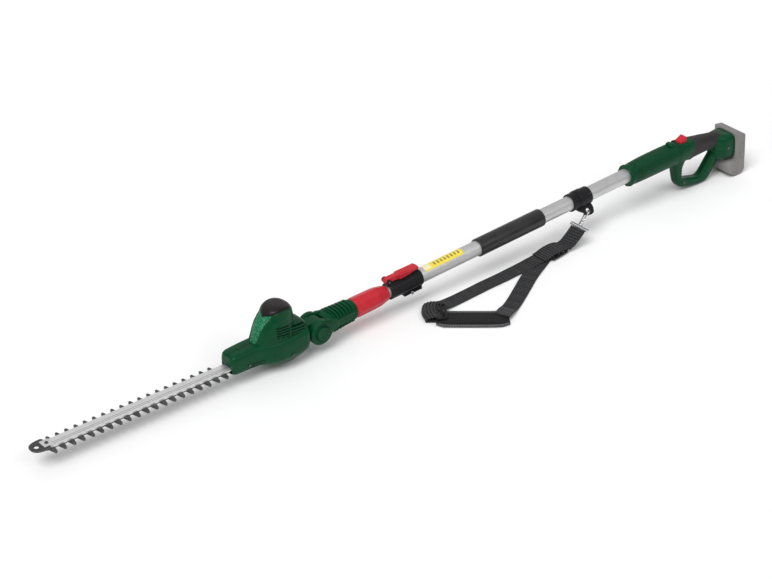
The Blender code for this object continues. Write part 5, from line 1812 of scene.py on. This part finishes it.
@dataclass
class Studio:
    """Pale floor, soft lights and the camera, all placed from the tilt pivot."""

    camera_place: tuple[float, float, float] = (-2252.2, -2960.2, 2327.4)
    forward: tuple[float, float, float] = (0.5440, 0.6614, -0.5164)
    up: tuple[float, float, float] = (0.3280, 0.3989, 0.8563)
    lens: float = 104.92

    def camera(self) -> None:
        """A camera on the near side of the blade, above the tool."""
        back = -Vector(self.forward).normalized()
        right = Vector(self.up).cross(back).normalized()
        up = back.cross(right)
        data = bpy.data.cameras.new("studio_camera")
        data.lens = self.lens
        data.sensor_width = 36.0
        data.clip_start = 0.05
        data.clip_end = 60.0
        item = bpy.data.objects.new("studio_camera", data)
        item.matrix_world = Matrix.Translation(Vector(PIVOT) + Vector(self.camera_place) * MM) @ Matrix(
            (right, up, back)).transposed().to_4x4()
        bpy.context.scene.collection.objects.link(item)
        bpy.context.scene.camera = item

    def floor(self) -> None:
        """A pale matt floor just under the tool."""
        corner = 14.0
        points = np.array([(-corner, -corner, -0.0003), (corner, -corner, -0.0003), (corner, corner, -0.0003),
                           (-corner, corner, -0.0003)])
        mesh = bpy.data.meshes.new("floor")
        mesh.from_pydata(points, [], [(0, 1, 2, 3)])
        floor = new_object("floor", mesh)
        recipe = Recipe("pale_studio_floor")
        cloud = recipe.grain(900.0, 2.0)
        ramp = recipe.add("ShaderNodeValToRGB", links={"Fac": cloud}, stops=[(0.3, "#f6f6f6"), (0.7, "#fafafa")])
        recipe.feed({"Base Color": ramp.outputs["Color"]})
        recipe.fix({"Roughness": 0.9})
        mesh.materials.append(recipe.material)

    def light(self, name: str, place: tuple[float, float, float], spread: float, strength: float) -> None:
        """A broad distant light shining from a place towards the tool, spread over an angle in degrees.

        Args:
            name: Name of the light.
            place: Place in metres, of which only the direction counts.
            spread: Angle that the light covers.
            strength: The light's energy.
        """
        data = bpy.data.lights.new(name, "SUN")
        data.angle = radians(spread)
        data.energy = strength
        item = bpy.data.objects.new(name, data)
        item.location = place
        item.rotation_euler = (-Vector(place)).to_track_quat("-Z", "Y").to_euler()
        bpy.context.scene.collection.objects.link(item)

    def sky(self) -> None:
        """A dim surround that brightens overhead, behind the tool."""
        world = bpy.data.worlds.new("studio_surround")
        world.use_nodes = True
        bpy.context.scene.world = world
        tree = world.node_tree
        place = tree.nodes.new("ShaderNodeTexCoord")
        toward = tree.nodes.new("ShaderNodeVectorMath")
        toward.operation = "DOT_PRODUCT"
        toward.inputs[1].default_value = (0.42, 0.52, 0.74)
        ramp = tree.nodes.new("ShaderNodeValToRGB")
        ramp.color_ramp.elements[0].color = (0.16, 0.16, 0.165, 1)
        ramp.color_ramp.elements[0].position = 0.25
        ramp.color_ramp.elements[1].color = (1.0, 1.0, 1.0, 1)
        ramp.color_ramp.elements[1].position = 0.95
        tree.links.new(place.outputs["Generated"], toward.inputs[0])
        tree.links.new(toward.outputs["Value"], ramp.inputs["Fac"])
        tree.links.new(ramp.outputs["Color"], tree.nodes["Background"].inputs["Color"])
        tree.nodes["Background"].inputs["Strength"].default_value = 0.7

    def build(self) -> None:
        """Set the camera, floor, surround and lights."""
        self.camera()
        self.floor()
        self.sky()
        self.light("key_light", (-2.6, -1.0, 3.8), 34.0, 2.1)
        self.light("fill_light", (0.8, -3.0, 2.6), 40.0, 0.75)
        self.light("nose_light", (-4.0, -0.6, 1.2), 26.0, 0.45)
        bpy.context.scene.view_settings.view_transform = "Standard"


def main() -> None:
    """Build the studio and every sub-assembly."""
    logging.basicConfig(level=logging.INFO, format="%(name)s %(message)s")
    Studio().build()
    for assembly in (CuttingHead(), TiltNeck(), Telescope(), StrapMount(), Harness(), RearHandle(),
                     BatteryPack()):
        assembly.build()


if __name__ == "__main__":
    main()
